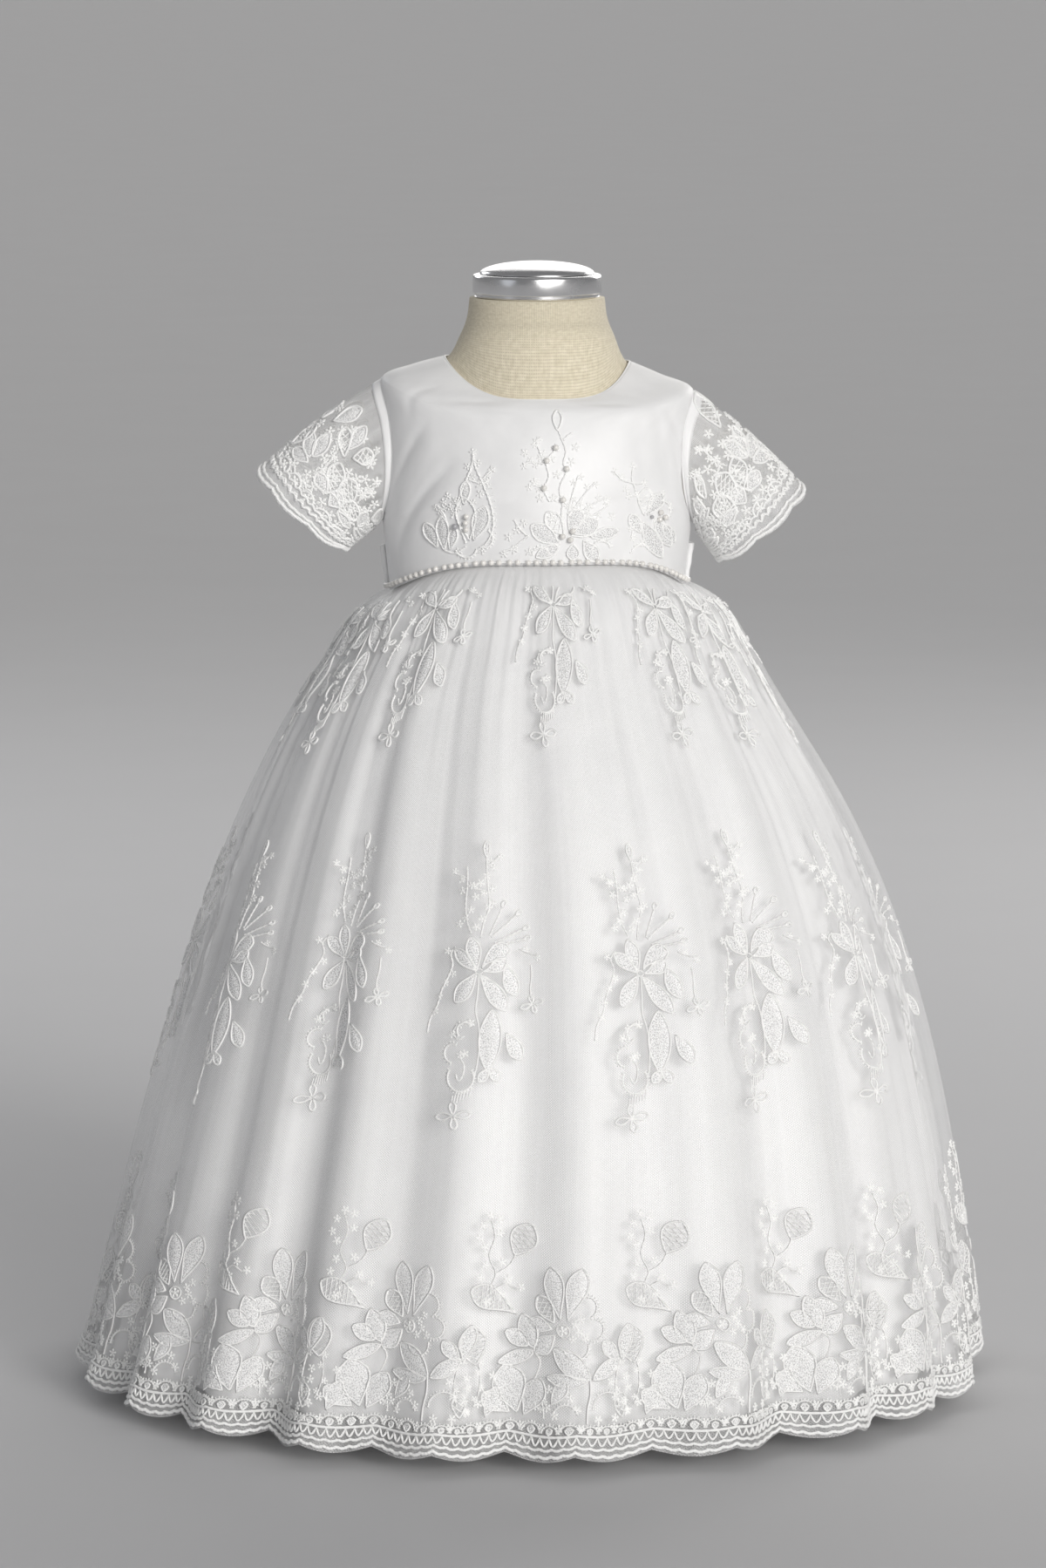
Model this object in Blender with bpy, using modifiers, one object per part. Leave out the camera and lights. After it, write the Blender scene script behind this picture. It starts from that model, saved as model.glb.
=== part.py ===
"""A christening gown worn by an infant's dress form, built as the real ones are made.

The gown has a satin bodice cut as a front and two backs, short sleeves of embroidered net, a satin
underskirt, a gathered overskirt of embroidered net with a scalloped hem, a strand of pearls along the
waist seam, and satin ties that fasten in a bow. The form has a linen-covered torso with a chrome neck
plate, on a pole and a round base.

Metres, +Z up, the floor at z = 0. The front faces -Y and +X is the wearer's left. An angle round the
body is 0 at the front and 90 at +X. Tables are in millimetres and are read through MM.
"""

import math
from collections import namedtuple

import bmesh
import bpy
from mathutils import Matrix, Vector

MM = 0.001
CLOTH = 1.0 * MM  # thickness of every cloth wall
SEAM = 0.3 * MM  # gap between pieces that are sewn together

# ---------------------------------------------------------------- bodice sizes
BodiceRow = namedtuple("BodiceRow", "half_width front back z_side z_front z_back left_drop")
BODICE = [  # left_drop is how much lower the side of the wearer's left hangs
    BodiceRow(84.0, 67.0, 60.0, 457.8, 478.0, 466.0, -3.6),  # waist seam
    BodiceRow(86.0, 68.0, 60.5, 477.5, 495.5, 483.5, -2.0),
    BodiceRow(88.0, 67.5, 60.5, 497.5, 512.5, 501.5, 0.5),  # bottom of the armholes
    BodiceRow(88.6, 65.5, 60.0, 516.5, 527.5, 518.5, 2.5),
    BodiceRow(89.0, 62.0, 58.5, 537.0, 542.0, 537.0, 4.0),  # middle of the armholes
    BodiceRow(89.2, 57.5, 56.0, 558.5, 554.5, 556.0, 5.5),
    BodiceRow(88.5, 53.0, 52.5, 578.5, 563.0, 570.0, 6.5),  # tips of the shoulders
    BodiceRow(71.0, 49.5, 47.0, 586.0, 567.0, 580.0, 6.0),
    BodiceRow(52.3, 46.5, 42.5, 591.0, 569.6, 586.0, 3.0),  # neckline
]
ARMPIT_ROW = 2
SHOULDER_ROW = 6
CURVE_POWER_RIGHT = 3.2  # how flat the waist seam and neckline run before they turn to the sides
CURVE_POWER_LEFT = 5.0
FRONT_ARMHOLE = 22.0  # degrees that the armhole bites into the front
BACK_ARMHOLE = 18.0
ROW_SPACING = 16.0 * MM  # about how far apart the rows lie on the chest
BODICE_ROWS = (0, 1, 2, 2.3, 3, 4, 5, 5.7, 6, 7, 8)
FRONT_COLUMNS = 18
BACK_COLUMNS = 9

PLACKET_HALF_WIDTH = 7.0 * MM
PLACKET_ROWS = (1.4, 2, 2.3, 3, 4, 5, 5.7, 6, 7, 7.92)
BUTTON_ROWS = (2.1, 3.6, 5.0, 7.0)
BUTTON_RADIUS = 4.2 * MM
BUTTON_HEIGHT = 3.4 * MM

# ---------------------------------------------------------------- sleeve sizes
Sleeve = namedtuple("Sleeve", "side outer_x outer_z lower_x lower_z half_depth")
SLEEVES = {
    "sleeve_right": Sleeve(-1, 158.0, 526.0, 107.5, 481.5, 21.0),
    "sleeve_left": Sleeve(1, 151.5, 516.0, 102.5, 475.5, 21.0),
}
SLEEVE_STATIONS = (0.0, 0.12, 0.34, 0.58, 0.8, 1.0)
SLEEVE_COLUMNS = 28
SLEEVE_START = 1.6 * MM  # how far the sleeve starts beyond the armhole's edge
SLEEVE_PUFF = 2.5 * MM  # how far the cap rounds out between armhole and cuff
CUFF_FORWARD = 5.0 * MM  # how much longer the sleeve is at its front than at its back
CUFF_SCALLOP = 2.2 * MM
CUFF_SCALLOPS = 7

# ---------------------------------------------------------------- skirt sizes
SkirtRow = namedtuple("SkirtRow", "drop half_width shift")
SKIRT = [  # outline over the crests of the folds; drop is the share of the way from waist to hem
    SkirtRow(0.000, 84.0, 0.0),
    SkirtRow(0.005, 90.5, 1.4),
    SkirtRow(0.016, 100.0, 1.8),
    SkirtRow(0.028, 105.8, 1.8),
    SkirtRow(0.084, 122.8, 1.3),
    SkirtRow(0.140, 138.5, 0.5),
    SkirtRow(0.196, 153.5, 1.3),
    SkirtRow(0.252, 167.6, 2.9),
    SkirtRow(0.364, 191.0, 5.3),
    SkirtRow(0.480, 209.6, 6.2),
    SkirtRow(0.596, 224.6, 6.0),
    SkirtRow(0.707, 237.0, 4.4),
    SkirtRow(0.818, 247.6, 2.5),
    SkirtRow(0.929, 257.6, 0.2),
    SkirtRow(1.000, 263.5, -3.0),
]
HEM_Z = 8.0 * MM  # lowest point of the scallops
SCALLOP_HEIGHT = 4.0 * MM

FoldRow = namedtuple("FoldRow", "crest valley")
FOLDS = [  # each main fold's angle in degrees, and the depth in mm at the hem of the valley after it
    FoldRow(-168, 16),
    FoldRow(-147, 15),
    FoldRow(-127, 18),
    FoldRow(-108, 15),
    FoldRow(-90, 12),
    FoldRow(-74, 15),
    FoldRow(-59, 13),
    FoldRow(-44, 19),
    FoldRow(-29, 12),
    FoldRow(-12, 15),
    FoldRow(5, 12),
    FoldRow(25, 20),
    FoldRow(43, 14),
    FoldRow(57, 10),
    FoldRow(71, 22),
    FoldRow(96, 15),
    FoldRow(115, 17),
    FoldRow(134, 14),
    FoldRow(153, 17),
    FoldRow(172, 15),
]
FOLD_GROWTH = 0.8  # power of the drop by which a fold deepens
GATHER_DEPTH = 1.2 * MM  # small gathers under the waist, two to a fold
GATHER_END = 0.5  # drop at which they have faded
OVERSKIRT_DROPS = (0.0, 0.005, 0.028, 0.084, 0.2, 0.364, 0.59, 0.8, 1.0)
OVERSKIRT_PER_FOLD = 6

UNDERSKIRT_HEM = 0.962  # drop at which the satin ends, above the lace edge
UNDERSKIRT_DROPS = OVERSKIRT_DROPS[:-1] + (UNDERSKIRT_HEM,)
UNDERSKIRT_PER_FOLD = 4
UNDERSKIRT_FOLD_SHARE = 0.8
GapRow = namedtuple("GapRow", "drop gap")
UNDERSKIRT_GAP = [  # how far the satin hangs inside the net
    GapRow(0.000, 2.6),
    GapRow(0.005, 5.6),
    GapRow(0.028, 5.2),
    GapRow(0.12, 6.6),
    GapRow(0.25, 9.0),
    GapRow(0.40, 13.0),
    GapRow(0.60, 13.0),
    GapRow(0.80, 11.5),
    GapRow(1.00, 9.5),
]

# ---------------------------------------------------------------- trim sizes
PEARL_RADIUS = 1.4 * MM
PEARL_ROW = 0.11  # bodice row that the strand lies on
PEARL_HALF_ANGLE = 88.0
PEARL_POINTS = 33

Spray = namedtuple("Spray", "x height half_width lean lobes")
APPLIQUES = {  # corded lace motifs on the bodice front
    "applique_right": Spray(-45.0, 58.0, 19.0, 8.0, 3),
    "applique_centre": Spray(12.0, 82.0, 29.0, -2.0, 4),
    "applique_left": Spray(64.0, 54.0, 13.0, -13.0, 3),
}
APPLIQUE_FOOT = 0.27  # bodice row that they rise from, just above the pearls
APPLIQUE_THICKNESS = 1.2 * MM
APPLIQUE_TIP = 1.2 * MM  # half the width of a spray's tip
APPLIQUE_TAPER = 0.8
LOBE_DEPTH = 0.38  # share of the width that its lobed sides cut into
APPLIQUE_ROWS = 13

TIE_ROWS = (0.06, 0.5, 1.0, 1.25)
TIE_START = 91.5
TIE_END = 175.5
TIE_COLUMNS = 12
TIE_STAND_OFF = 1.2 * MM  # how far the tie stands off the cloth where it leaves the side seam
TIE_SETTLED = 108.0  # angle at which it lies on the cloth
KNOT_SIZE = Vector((18.0, 12.0, 21.0)) * MM
KNOT_ROUNDING = 3.5 * MM
LOOP_LENGTH = 52.0 * MM
LOOP_SWELL_IN = 2.0 * MM  # how far each side of the loop bellies out
LOOP_SWELL_OUT = 9.0 * MM
LOOP_LEAN = 15.0 * MM  # how far its end is pushed back by the skirt
LOOP_DROOP = 3.0 * MM
LOOP_ROOT_HALF = 6.5 * MM  # half the ribbon's width where the knot pinches it
LOOP_HALF = 16.5 * MM
LOOP_FULL = 0.75  # share of the loop's length at which it has opened out
LOOP_SLIT = 0.045  # share of a turn that is left open at each end, inside the knot
LOOP_STEPS = 18
TAIL_DROPS = (0.009, 0.016, 0.028, 0.056, 0.084, 0.14, 0.196, 0.252, 0.308, 0.364, 0.41)
TAIL_HALF_WIDTH = 12.0 * MM
TAIL_PINCH = 0.38  # share of its width where the knot holds it
TAIL_FULL = 0.35  # share of its length at which it has its whole width
TAIL_ANGLES = {"tie_tail_left": (4.5, 14.0), "tie_tail_right": (-4.5, -11.0)}
TAIL_STAND_OFF = 0.7 * MM
TAIL_SLANT = 0.018  # drop by which one corner of a tail's end hangs lower than its middle

# ---------------------------------------------------------------- dress form sizes
FORM_GAP = 0.7 * MM  # between the form's shoulders and the cloth on them
FORM_EASE = 3.0 * MM  # between its chest and the cloth
FORM_WAIST_EASE = 5.5 * MM
FormRow = namedtuple("FormRow", "z half_width front back")
FORM_LOWER = [
    FormRow(330.0, 62.0, 46.0, 46.0),
    FormRow(334.0, 72.0, 55.0, 55.0),
    FormRow(348.0, 79.0, 60.0, 60.0),
    FormRow(380.0, 80.0, 62.5, 59.0),
    FormRow(420.0, 77.0, 61.5, 55.0),
    FormRow(450.0, 76.5, 59.5, 53.0),
]
FORM_BODICE_ROWS = (0, 1, 2, 4, 5, 6, 7, 8)
FORM_NECK = [
    FormRow(603.0, 43.6, 39.6, 37.6),
    FormRow(613.0, 39.8, 37.2, 36.0),
    FormRow(624.0, 38.4, 36.4, 35.6),
]
FORM_COLUMNS = 28
BASE_COLUMNS = 36
POLE_COLUMNS = 20
SHARP_EDGE = 50.0  # degrees above which its shading turns sharply
NECK_PLATE_Z = 624.3 * MM
NECK_PLATE_HEIGHT = 13.0 * MM
NECK_PLATE_RADIUS = 36.6 * MM
CAP_HEIGHT = 7.0 * MM
POLE_RADIUS = 11.0 * MM
BASE_RADIUS = 88.0 * MM
BASE_HEIGHT = 8.0 * MM
BASE_BEVEL = 2.5 * MM
BOSS_RADIUS = 19.0 * MM
BOSS_HEIGHT = 24.0 * MM
BOSS_BEVEL = 3.0 * MM
PLATE_BEVEL = 1.2 * MM
CAP_INSET = 4.0 * MM  # how far the cap's rim lies inside the plate's
CAP_STEPS = 5


# ---------------------------------------------------------------- reading the tables
def smooth_between(values, at):
    """Catmull-Rom through values at 0, 1, 2 and so on."""
    last = len(values) - 1
    i = min(int(at), last - 1)
    s = at - i
    p1, p2 = values[i], values[i + 1]
    p0 = values[i - 1] if i > 0 else 2 * p1 - p2
    p3 = values[i + 2] if i + 2 <= last else 2 * p2 - p1
    return 0.5 * (
        2 * p1 + (p2 - p0) * s + (2 * p0 - 5 * p1 + 4 * p2 - p3) * s**2 + (3 * p1 - p0 - 3 * p2 + p3) * s**3
    )


def read(table, column, at):
    """A column of a table whose rows are evenly spaced, in metres."""
    return smooth_between([getattr(row, column) for row in table], at) * MM


def read_drop(table, column, drop):
    """A column of a table whose rows are placed by their drop, in metres, straight between rows."""
    for low, high in zip(table, table[1:]):
        if drop <= high.drop:
            share = (drop - low.drop) / (high.drop - low.drop)
            return (getattr(low, column) + (getattr(high, column) - getattr(low, column)) * share) * MM
    return getattr(table[-1], column) * MM


# ---------------------------------------------------------------- surfaces of the garment
def oval(angle, half_width, front, back):
    """Point of an oval round the body, and its share of the way from the side to the front or back."""
    turn = math.radians(angle)
    depth = front if math.cos(turn) >= 0 else back
    power = CURVE_POWER_LEFT if angle % 360 < 180 else CURVE_POWER_RIGHT
    share = 1 - abs(math.sin(turn)) ** power
    return half_width * math.sin(turn), -depth * math.cos(turn), share


def bodice_surface(angle, row):
    half_width, front, back = (read(BODICE, name, row) for name in ("half_width", "front", "back"))
    x, y, share = oval(angle, half_width, front, back)
    z_side = read(BODICE, "z_side", row)
    if angle % 360 < 180:
        z_side -= read(BODICE, "left_drop", row)
    z_middle = read(BODICE, "z_front" if abs(angle) < 90 else "z_back", row)
    return Vector((x, y, z_side + (z_middle - z_side) * share))


def outward(surface, angle, row, step=0.02):
    """Unit normal of a surface, pointing away from the body."""
    low = max(row - step, 0)
    across = surface(angle + 1, row) - surface(angle - 1, row)
    up = surface(angle, low + 2 * step) - surface(angle, low)
    normal = across.cross(up).normalized()
    away = surface(angle, row) * Vector((1, 1, 0))
    return normal if normal.dot(away) > 0 else -normal


def on_bodice(angle, row, out=0.0):
    return bodice_surface(angle, row) + outward(bodice_surface, angle, row) * out


def armhole_angle(row, bite):
    """Angle at which a panel ends: the side seam, the armhole or the shoulder seam."""
    middle = (ARMPIT_ROW + SHOULDER_ROW) / 2
    share = (row - middle) / (SHOULDER_ROW - middle)
    return bite * math.sqrt(max(0.0, 1 - share * share))


def fold_phase_angle(phase):
    """Angle round the body at a phase, where each whole number is the crest of one fold."""
    i = int(phase) % len(FOLDS)
    here = FOLDS[i].crest
    after = FOLDS[(i + 1) % len(FOLDS)].crest
    if after < here:
        after += 360
    return here + (after - here) * (phase % 1)


def skirt_point(angle, drop, inward=0.0):
    """Point of the skirt's outline over its folds, moved inward."""
    waist = bodice_surface(angle, 0)
    half_width = read_drop(SKIRT, "half_width", drop)
    front_gap = read(BODICE, "half_width", 0) - read(BODICE, "front", 0)
    back_gap = read(BODICE, "half_width", 0) - read(BODICE, "back", 0)
    front = half_width - front_gap * (1 - drop)
    back = half_width - back_gap * (1 - drop)
    x, y, _ = oval(angle, half_width - inward, front - inward, back - inward)
    top = waist.z - SEAM
    return Vector((x + read_drop(SKIRT, "shift", drop), y, top + (HEM_Z - top) * drop))


def valley(phase, drop):
    """How far the cloth lies in from the outline at a phase of the folds."""
    here = FOLDS[int(phase) % len(FOLDS)]
    wave = (1 - math.cos(2 * math.pi * (phase % 1))) / 2
    return here.valley * MM * wave * drop**FOLD_GROWTH


def overskirt_point(phase, drop):
    gather = (1 - math.cos(4 * math.pi * phase)) / 2
    shown = min(1.0, drop / 0.03) * max(0.0, 1 - drop / GATHER_END)
    point = skirt_point(fold_phase_angle(phase), drop, valley(phase, drop) + gather * GATHER_DEPTH * shown)
    if drop == 1.0:
        point.z += SCALLOP_HEIGHT * (1 - abs(math.sin(2 * math.pi * phase)))
    return point


def underskirt_point(phase, drop):
    inside = read_drop(UNDERSKIRT_GAP, "gap", drop) + valley(phase, drop) * UNDERSKIRT_FOLD_SHARE
    return skirt_point(fold_phase_angle(phase), drop, inside)


# ---------------------------------------------------------------- mesh tools
def clear_scene():
    for thing in list(bpy.data.objects):
        bpy.data.objects.remove(thing, do_unlink=True)


def finish(colour, roughness, metallic=0.0, name="cloth"):
    """A plain material of the piece's colour."""
    material = bpy.data.materials.new(name)
    material.use_nodes = True
    shader = material.node_tree.nodes["Principled BSDF"]
    shader.inputs["Base Color"].default_value = (*colour, 1)
    shader.inputs["Roughness"].default_value = roughness
    shader.inputs["Metallic"].default_value = metallic
    return material


def add_object(name, mesh, material):
    thing = bpy.data.objects.new(name, mesh)
    COLLECTION.objects.link(thing)
    mesh.materials.append(material)
    return thing


def lofted(name, rows, material, closed=False, thickness=CLOTH):
    """A cloth wall: an open surface through rows of points, thickened away from its outer side."""
    bm = bmesh.new()
    grid = [[bm.verts.new(point) for point in row] for row in rows]
    for low, high in zip(grid, grid[1:]):
        count = len(low)
        for i in range(count if closed else count - 1):
            j = (i + 1) % count
            bm.faces.new((low[i], low[j], high[j], high[i]))
    mesh = bpy.data.meshes.new(name)
    bm.to_mesh(mesh)
    bm.free()
    mesh.shade_smooth()
    thing = add_object(name, mesh, material)
    wall = thing.modifiers.new("wall", "SOLIDIFY")
    wall.thickness = thickness
    wall.offset = -1
    return thing


def closed_loft(name, rows, material):
    """A solid through closed rows, with a flat cap at each end."""
    bm = bmesh.new()
    grid = [[bm.verts.new(point) for point in row] for row in rows]
    for low, high in zip(grid, grid[1:]):
        for i in range(len(low)):
            j = (i + 1) % len(low)
            bm.faces.new((low[i], low[j], high[j], high[i]))
    bm.faces.new(reversed(grid[0]))
    bm.faces.new(grid[-1])
    mesh = bpy.data.meshes.new(name)
    bm.to_mesh(mesh)
    bm.free()
    mesh.shade_smooth()
    mesh.set_sharp_from_angle(angle=math.radians(SHARP_EDGE))
    return add_object(name, mesh, material)


def turned(name, profile, material, steps):
    """A solid turned about Z from a profile that runs from its top centre down to its bottom centre."""
    mesh = bpy.data.meshes.new(name)
    points = [(radius, 0, z) for radius, z in profile]
    mesh.from_pydata(points, [(i, i + 1) for i in range(len(points) - 1)], [])
    thing = add_object(name, mesh, material)
    screw = thing.modifiers.new("turn", "SCREW")
    screw.steps = screw.render_steps = steps
    screw.use_merge_vertices = True
    screw.merge_threshold = 0.00005
    screw.use_smooth_shade = True
    return thing


# ---------------------------------------------------------------- the bodice
def panel(name, rows, first, last, columns, material, out=lambda angle: 0.0):
    """A panel between two edges, each a function of the row, whose two sides both follow the bodice."""

    def side(depth):
        grid = []
        for row in rows:
            angles = [first(row) + (last(row) - first(row)) * i / columns for i in range(columns + 1)]
            grid.append([bm.verts.new(on_bodice(angle, row, out(angle) - depth)) for angle in angles])
        return grid

    bm = bmesh.new()
    front, back = side(0.0), side(CLOTH)
    for j in range(len(rows) - 1):
        for i in range(columns):
            bm.faces.new((front[j][i], front[j][i + 1], front[j + 1][i + 1], front[j + 1][i]))
            bm.faces.new((back[j][i], back[j + 1][i], back[j + 1][i + 1], back[j][i + 1]))
    edge = [(0, i) for i in range(columns)] + [(j, columns) for j in range(len(rows) - 1)]
    edge += [(len(rows) - 1, columns - i) for i in range(columns)]
    edge += [(len(rows) - 1 - j, 0) for j in range(len(rows) - 1)]
    for (j, i), (n, m) in zip(edge, edge[1:] + edge[:1]):
        bm.faces.new((back[j][i], back[n][m], front[n][m], front[j][i]))
    mesh = bpy.data.meshes.new(name)
    bm.to_mesh(mesh)
    bm.free()
    mesh.shade_smooth()
    return add_object(name, mesh, material)


def seam_angle(row):
    """Half a seam's gap as an angle at a row."""
    return math.degrees(SEAM / 2 / read(BODICE, "back", row))


def make_bodice(satin):
    def front_edge(row):
        return 90 - armhole_angle(row, FRONT_ARMHOLE) - seam_angle(row)

    def back_edge(row):
        return 90 + armhole_angle(row, BACK_ARMHOLE) + seam_angle(row)

    def centre_back(row):
        return 180 - seam_angle(row)

    def mirrored(edge):
        return lambda row: -edge(row)

    panel("bodice_front", BODICE_ROWS, mirrored(front_edge), front_edge, FRONT_COLUMNS, satin)
    panel("bodice_back_left", BODICE_ROWS, back_edge, centre_back, BACK_COLUMNS, satin)
    panel(
        "bodice_back_right", BODICE_ROWS, mirrored(centre_back), mirrored(back_edge), BACK_COLUMNS, satin
    )


def make_placket(satin, pearl):
    """The strip over the back opening, with its buttons."""

    def half_angle(row):
        return math.degrees(PLACKET_HALF_WIDTH / read(BODICE, "back", row))

    def first(row):
        return 180 - half_angle(row)

    def last(row):
        return 180 + half_angle(row)

    out = SEAM + CLOTH
    panel("placket", PLACKET_ROWS, first, last, 2, satin, lambda angle: out)
    for number, row in enumerate(BUTTON_ROWS, 1):
        bpy.ops.mesh.primitive_uv_sphere_add(segments=12, ring_count=6, radius=1.0)
        button = bpy.context.object
        button.name = f"button_{number}"
        button.data.name = button.name
        normal = outward(bodice_surface, 180, row)
        centre = on_bodice(180, row, out + SEAM + BUTTON_HEIGHT / 2)
        turn = normal.to_track_quat("Z", "Y").to_matrix().to_4x4()
        size = Matrix.Diagonal((BUTTON_RADIUS, BUTTON_RADIUS, BUTTON_HEIGHT / 2, 1))
        button.data.transform(Matrix.Translation(centre) @ turn @ size)
        button.data.shade_smooth()
        button.data.materials.append(pearl)
        for holder in button.users_collection:
            holder.objects.unlink(button)
        COLLECTION.objects.link(button)


# ---------------------------------------------------------------- the sleeves
def armhole_point(side, turn):
    """Point on the armhole's edge: 0 is the shoulder, 90 the front, 180 the armpit, 270 the back."""
    share = math.cos(math.radians(turn))
    middle = (ARMPIT_ROW + SHOULDER_ROW) / 2
    row = middle + (SHOULDER_ROW - middle) * share
    bite = FRONT_ARMHOLE if turn % 360 <= 180 else BACK_ARMHOLE
    lean = armhole_angle(row, bite)
    angle = 90 - lean if turn % 360 <= 180 else 90 + lean
    return on_bodice(side * angle, row, -CLOTH / 2)


def cuff_point(sleeve, turn, reach):
    """Point on the cuff's oval, moved along the sleeve by reach."""
    outer = Vector((sleeve.side * sleeve.outer_x, 0, sleeve.outer_z)) * MM
    lower = Vector((sleeve.side * sleeve.lower_x, 0, sleeve.lower_z)) * MM
    centre, half = (outer + lower) / 2, (outer - lower) / 2
    along = sleeve_direction(sleeve)
    angle = math.radians(turn)
    forward = Vector((0, -sleeve.half_depth * MM, 0)) + along * CUFF_FORWARD
    return centre + half * math.cos(angle) + forward * math.sin(angle) + along * reach


def sleeve_direction(sleeve):
    """Unit direction from the armhole out to the cuff."""
    middle = (armhole_point(sleeve.side, 0) + armhole_point(sleeve.side, 180)) / 2
    cuff = Vector((sleeve.outer_x + sleeve.lower_x, 0, sleeve.outer_z + sleeve.lower_z)) / 2 * MM
    return (Vector((sleeve.side * cuff.x, 0, cuff.z)) - middle * Vector((1, 0, 1))).normalized()


def sleeve_point(sleeve, turn, station):
    """Point of the sleeve at a turn round it and a share of the way from armhole to cuff."""
    along = sleeve_direction(sleeve)
    start = armhole_point(sleeve.side, turn) + along * SLEEVE_START
    scallop = abs(math.sin(math.radians(turn) * CUFF_SCALLOPS / 2)) * CUFF_SCALLOP
    end = cuff_point(sleeve, turn, scallop if station == 1.0 else 0.0)
    point = start.lerp(end, station)
    middle = (cuff_point(sleeve, 0, 0) + cuff_point(sleeve, 180, 0)) / 2
    axis_point = middle + along * (point - middle).dot(along)
    away = (point - axis_point).normalized()
    return point + away * SLEEVE_PUFF * math.sin(math.pi * station) * (1 + math.cos(math.radians(turn))) / 2


def make_sleeves(net):
    for name, sleeve in SLEEVES.items():
        rows = [
            [
                sleeve_point(sleeve, -sleeve.side * 360 * i / SLEEVE_COLUMNS, station)
                for i in range(SLEEVE_COLUMNS)
            ]
            for station in SLEEVE_STATIONS
        ]
        lofted(name, rows, net, closed=True)


# ---------------------------------------------------------------- the skirts
def make_skirts(satin, net):
    for name, point, drops, per_fold, cloth in (
        ("overskirt", overskirt_point, OVERSKIRT_DROPS, OVERSKIRT_PER_FOLD, net),
        ("underskirt", underskirt_point, UNDERSKIRT_DROPS, UNDERSKIRT_PER_FOLD, satin),
    ):
        count = len(FOLDS) * per_fold
        rows = [[point(i / per_fold, drop) for i in range(count)] for drop in reversed(drops)]
        lofted(name, rows, cloth, closed=True)


# ---------------------------------------------------------------- trim, ties and bow
def make_pearl_strand(pearl):
    """The strand as one plain tube along the front of the waist seam."""
    curve = bpy.data.curves.new("pearl_strand", "CURVE")
    curve.dimensions = "3D"
    curve.bevel_depth = PEARL_RADIUS
    curve.bevel_resolution = 1
    curve.use_fill_caps = True
    spline = curve.splines.new("POLY")
    spline.points.add(PEARL_POINTS - 1)
    for i, point in enumerate(spline.points):
        angle = PEARL_HALF_ANGLE * (2 * i / (PEARL_POINTS - 1) - 1)
        point.co = (*on_bodice(angle, PEARL_ROW, PEARL_RADIUS + SEAM), 1)
    curve.materials.append(pearl)
    COLLECTION.objects.link(bpy.data.objects.new("pearl_strand", curve))


def bodice_place(x, rise):
    """Angle and row of the bodice front at a place seen from the front, rise metres above the pearls."""
    row = APPLIQUE_FOOT
    angle = math.degrees(math.asin(x / read(BODICE, "half_width", row)))
    z = bodice_surface(angle, row).z + rise
    for _ in range(30):  # step towards the row whose height is z
        angle = math.degrees(math.asin(x / read(BODICE, "half_width", row)))
        row += (z - bodice_surface(angle, row).z) / ROW_SPACING
    return angle, row


def make_appliques(lace):
    """Lace sprays that taper upwards with lobed sides, laid just off the bodice front."""
    for name, spray in APPLIQUES.items():
        rows = []
        for j in range(APPLIQUE_ROWS + 1):
            up = j / APPLIQUE_ROWS
            lobe = 1 - LOBE_DEPTH + LOBE_DEPTH * abs(math.sin(math.pi * (spray.lobes * up + 0.2)))
            half = spray.half_width * MM * (1 - up) ** APPLIQUE_TAPER * lobe + APPLIQUE_TIP
            middle = (spray.x + spray.lean * up) * MM
            rise = spray.height * MM * up
            places = [bodice_place(middle + half * u, rise) for u in (-1, -0.5, 0, 0.5, 1)]
            rows.append([on_bodice(angle, row, APPLIQUE_THICKNESS + 2 * SEAM) for angle, row in places])
        lofted(name, rows, lace, thickness=APPLIQUE_THICKNESS)


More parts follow.
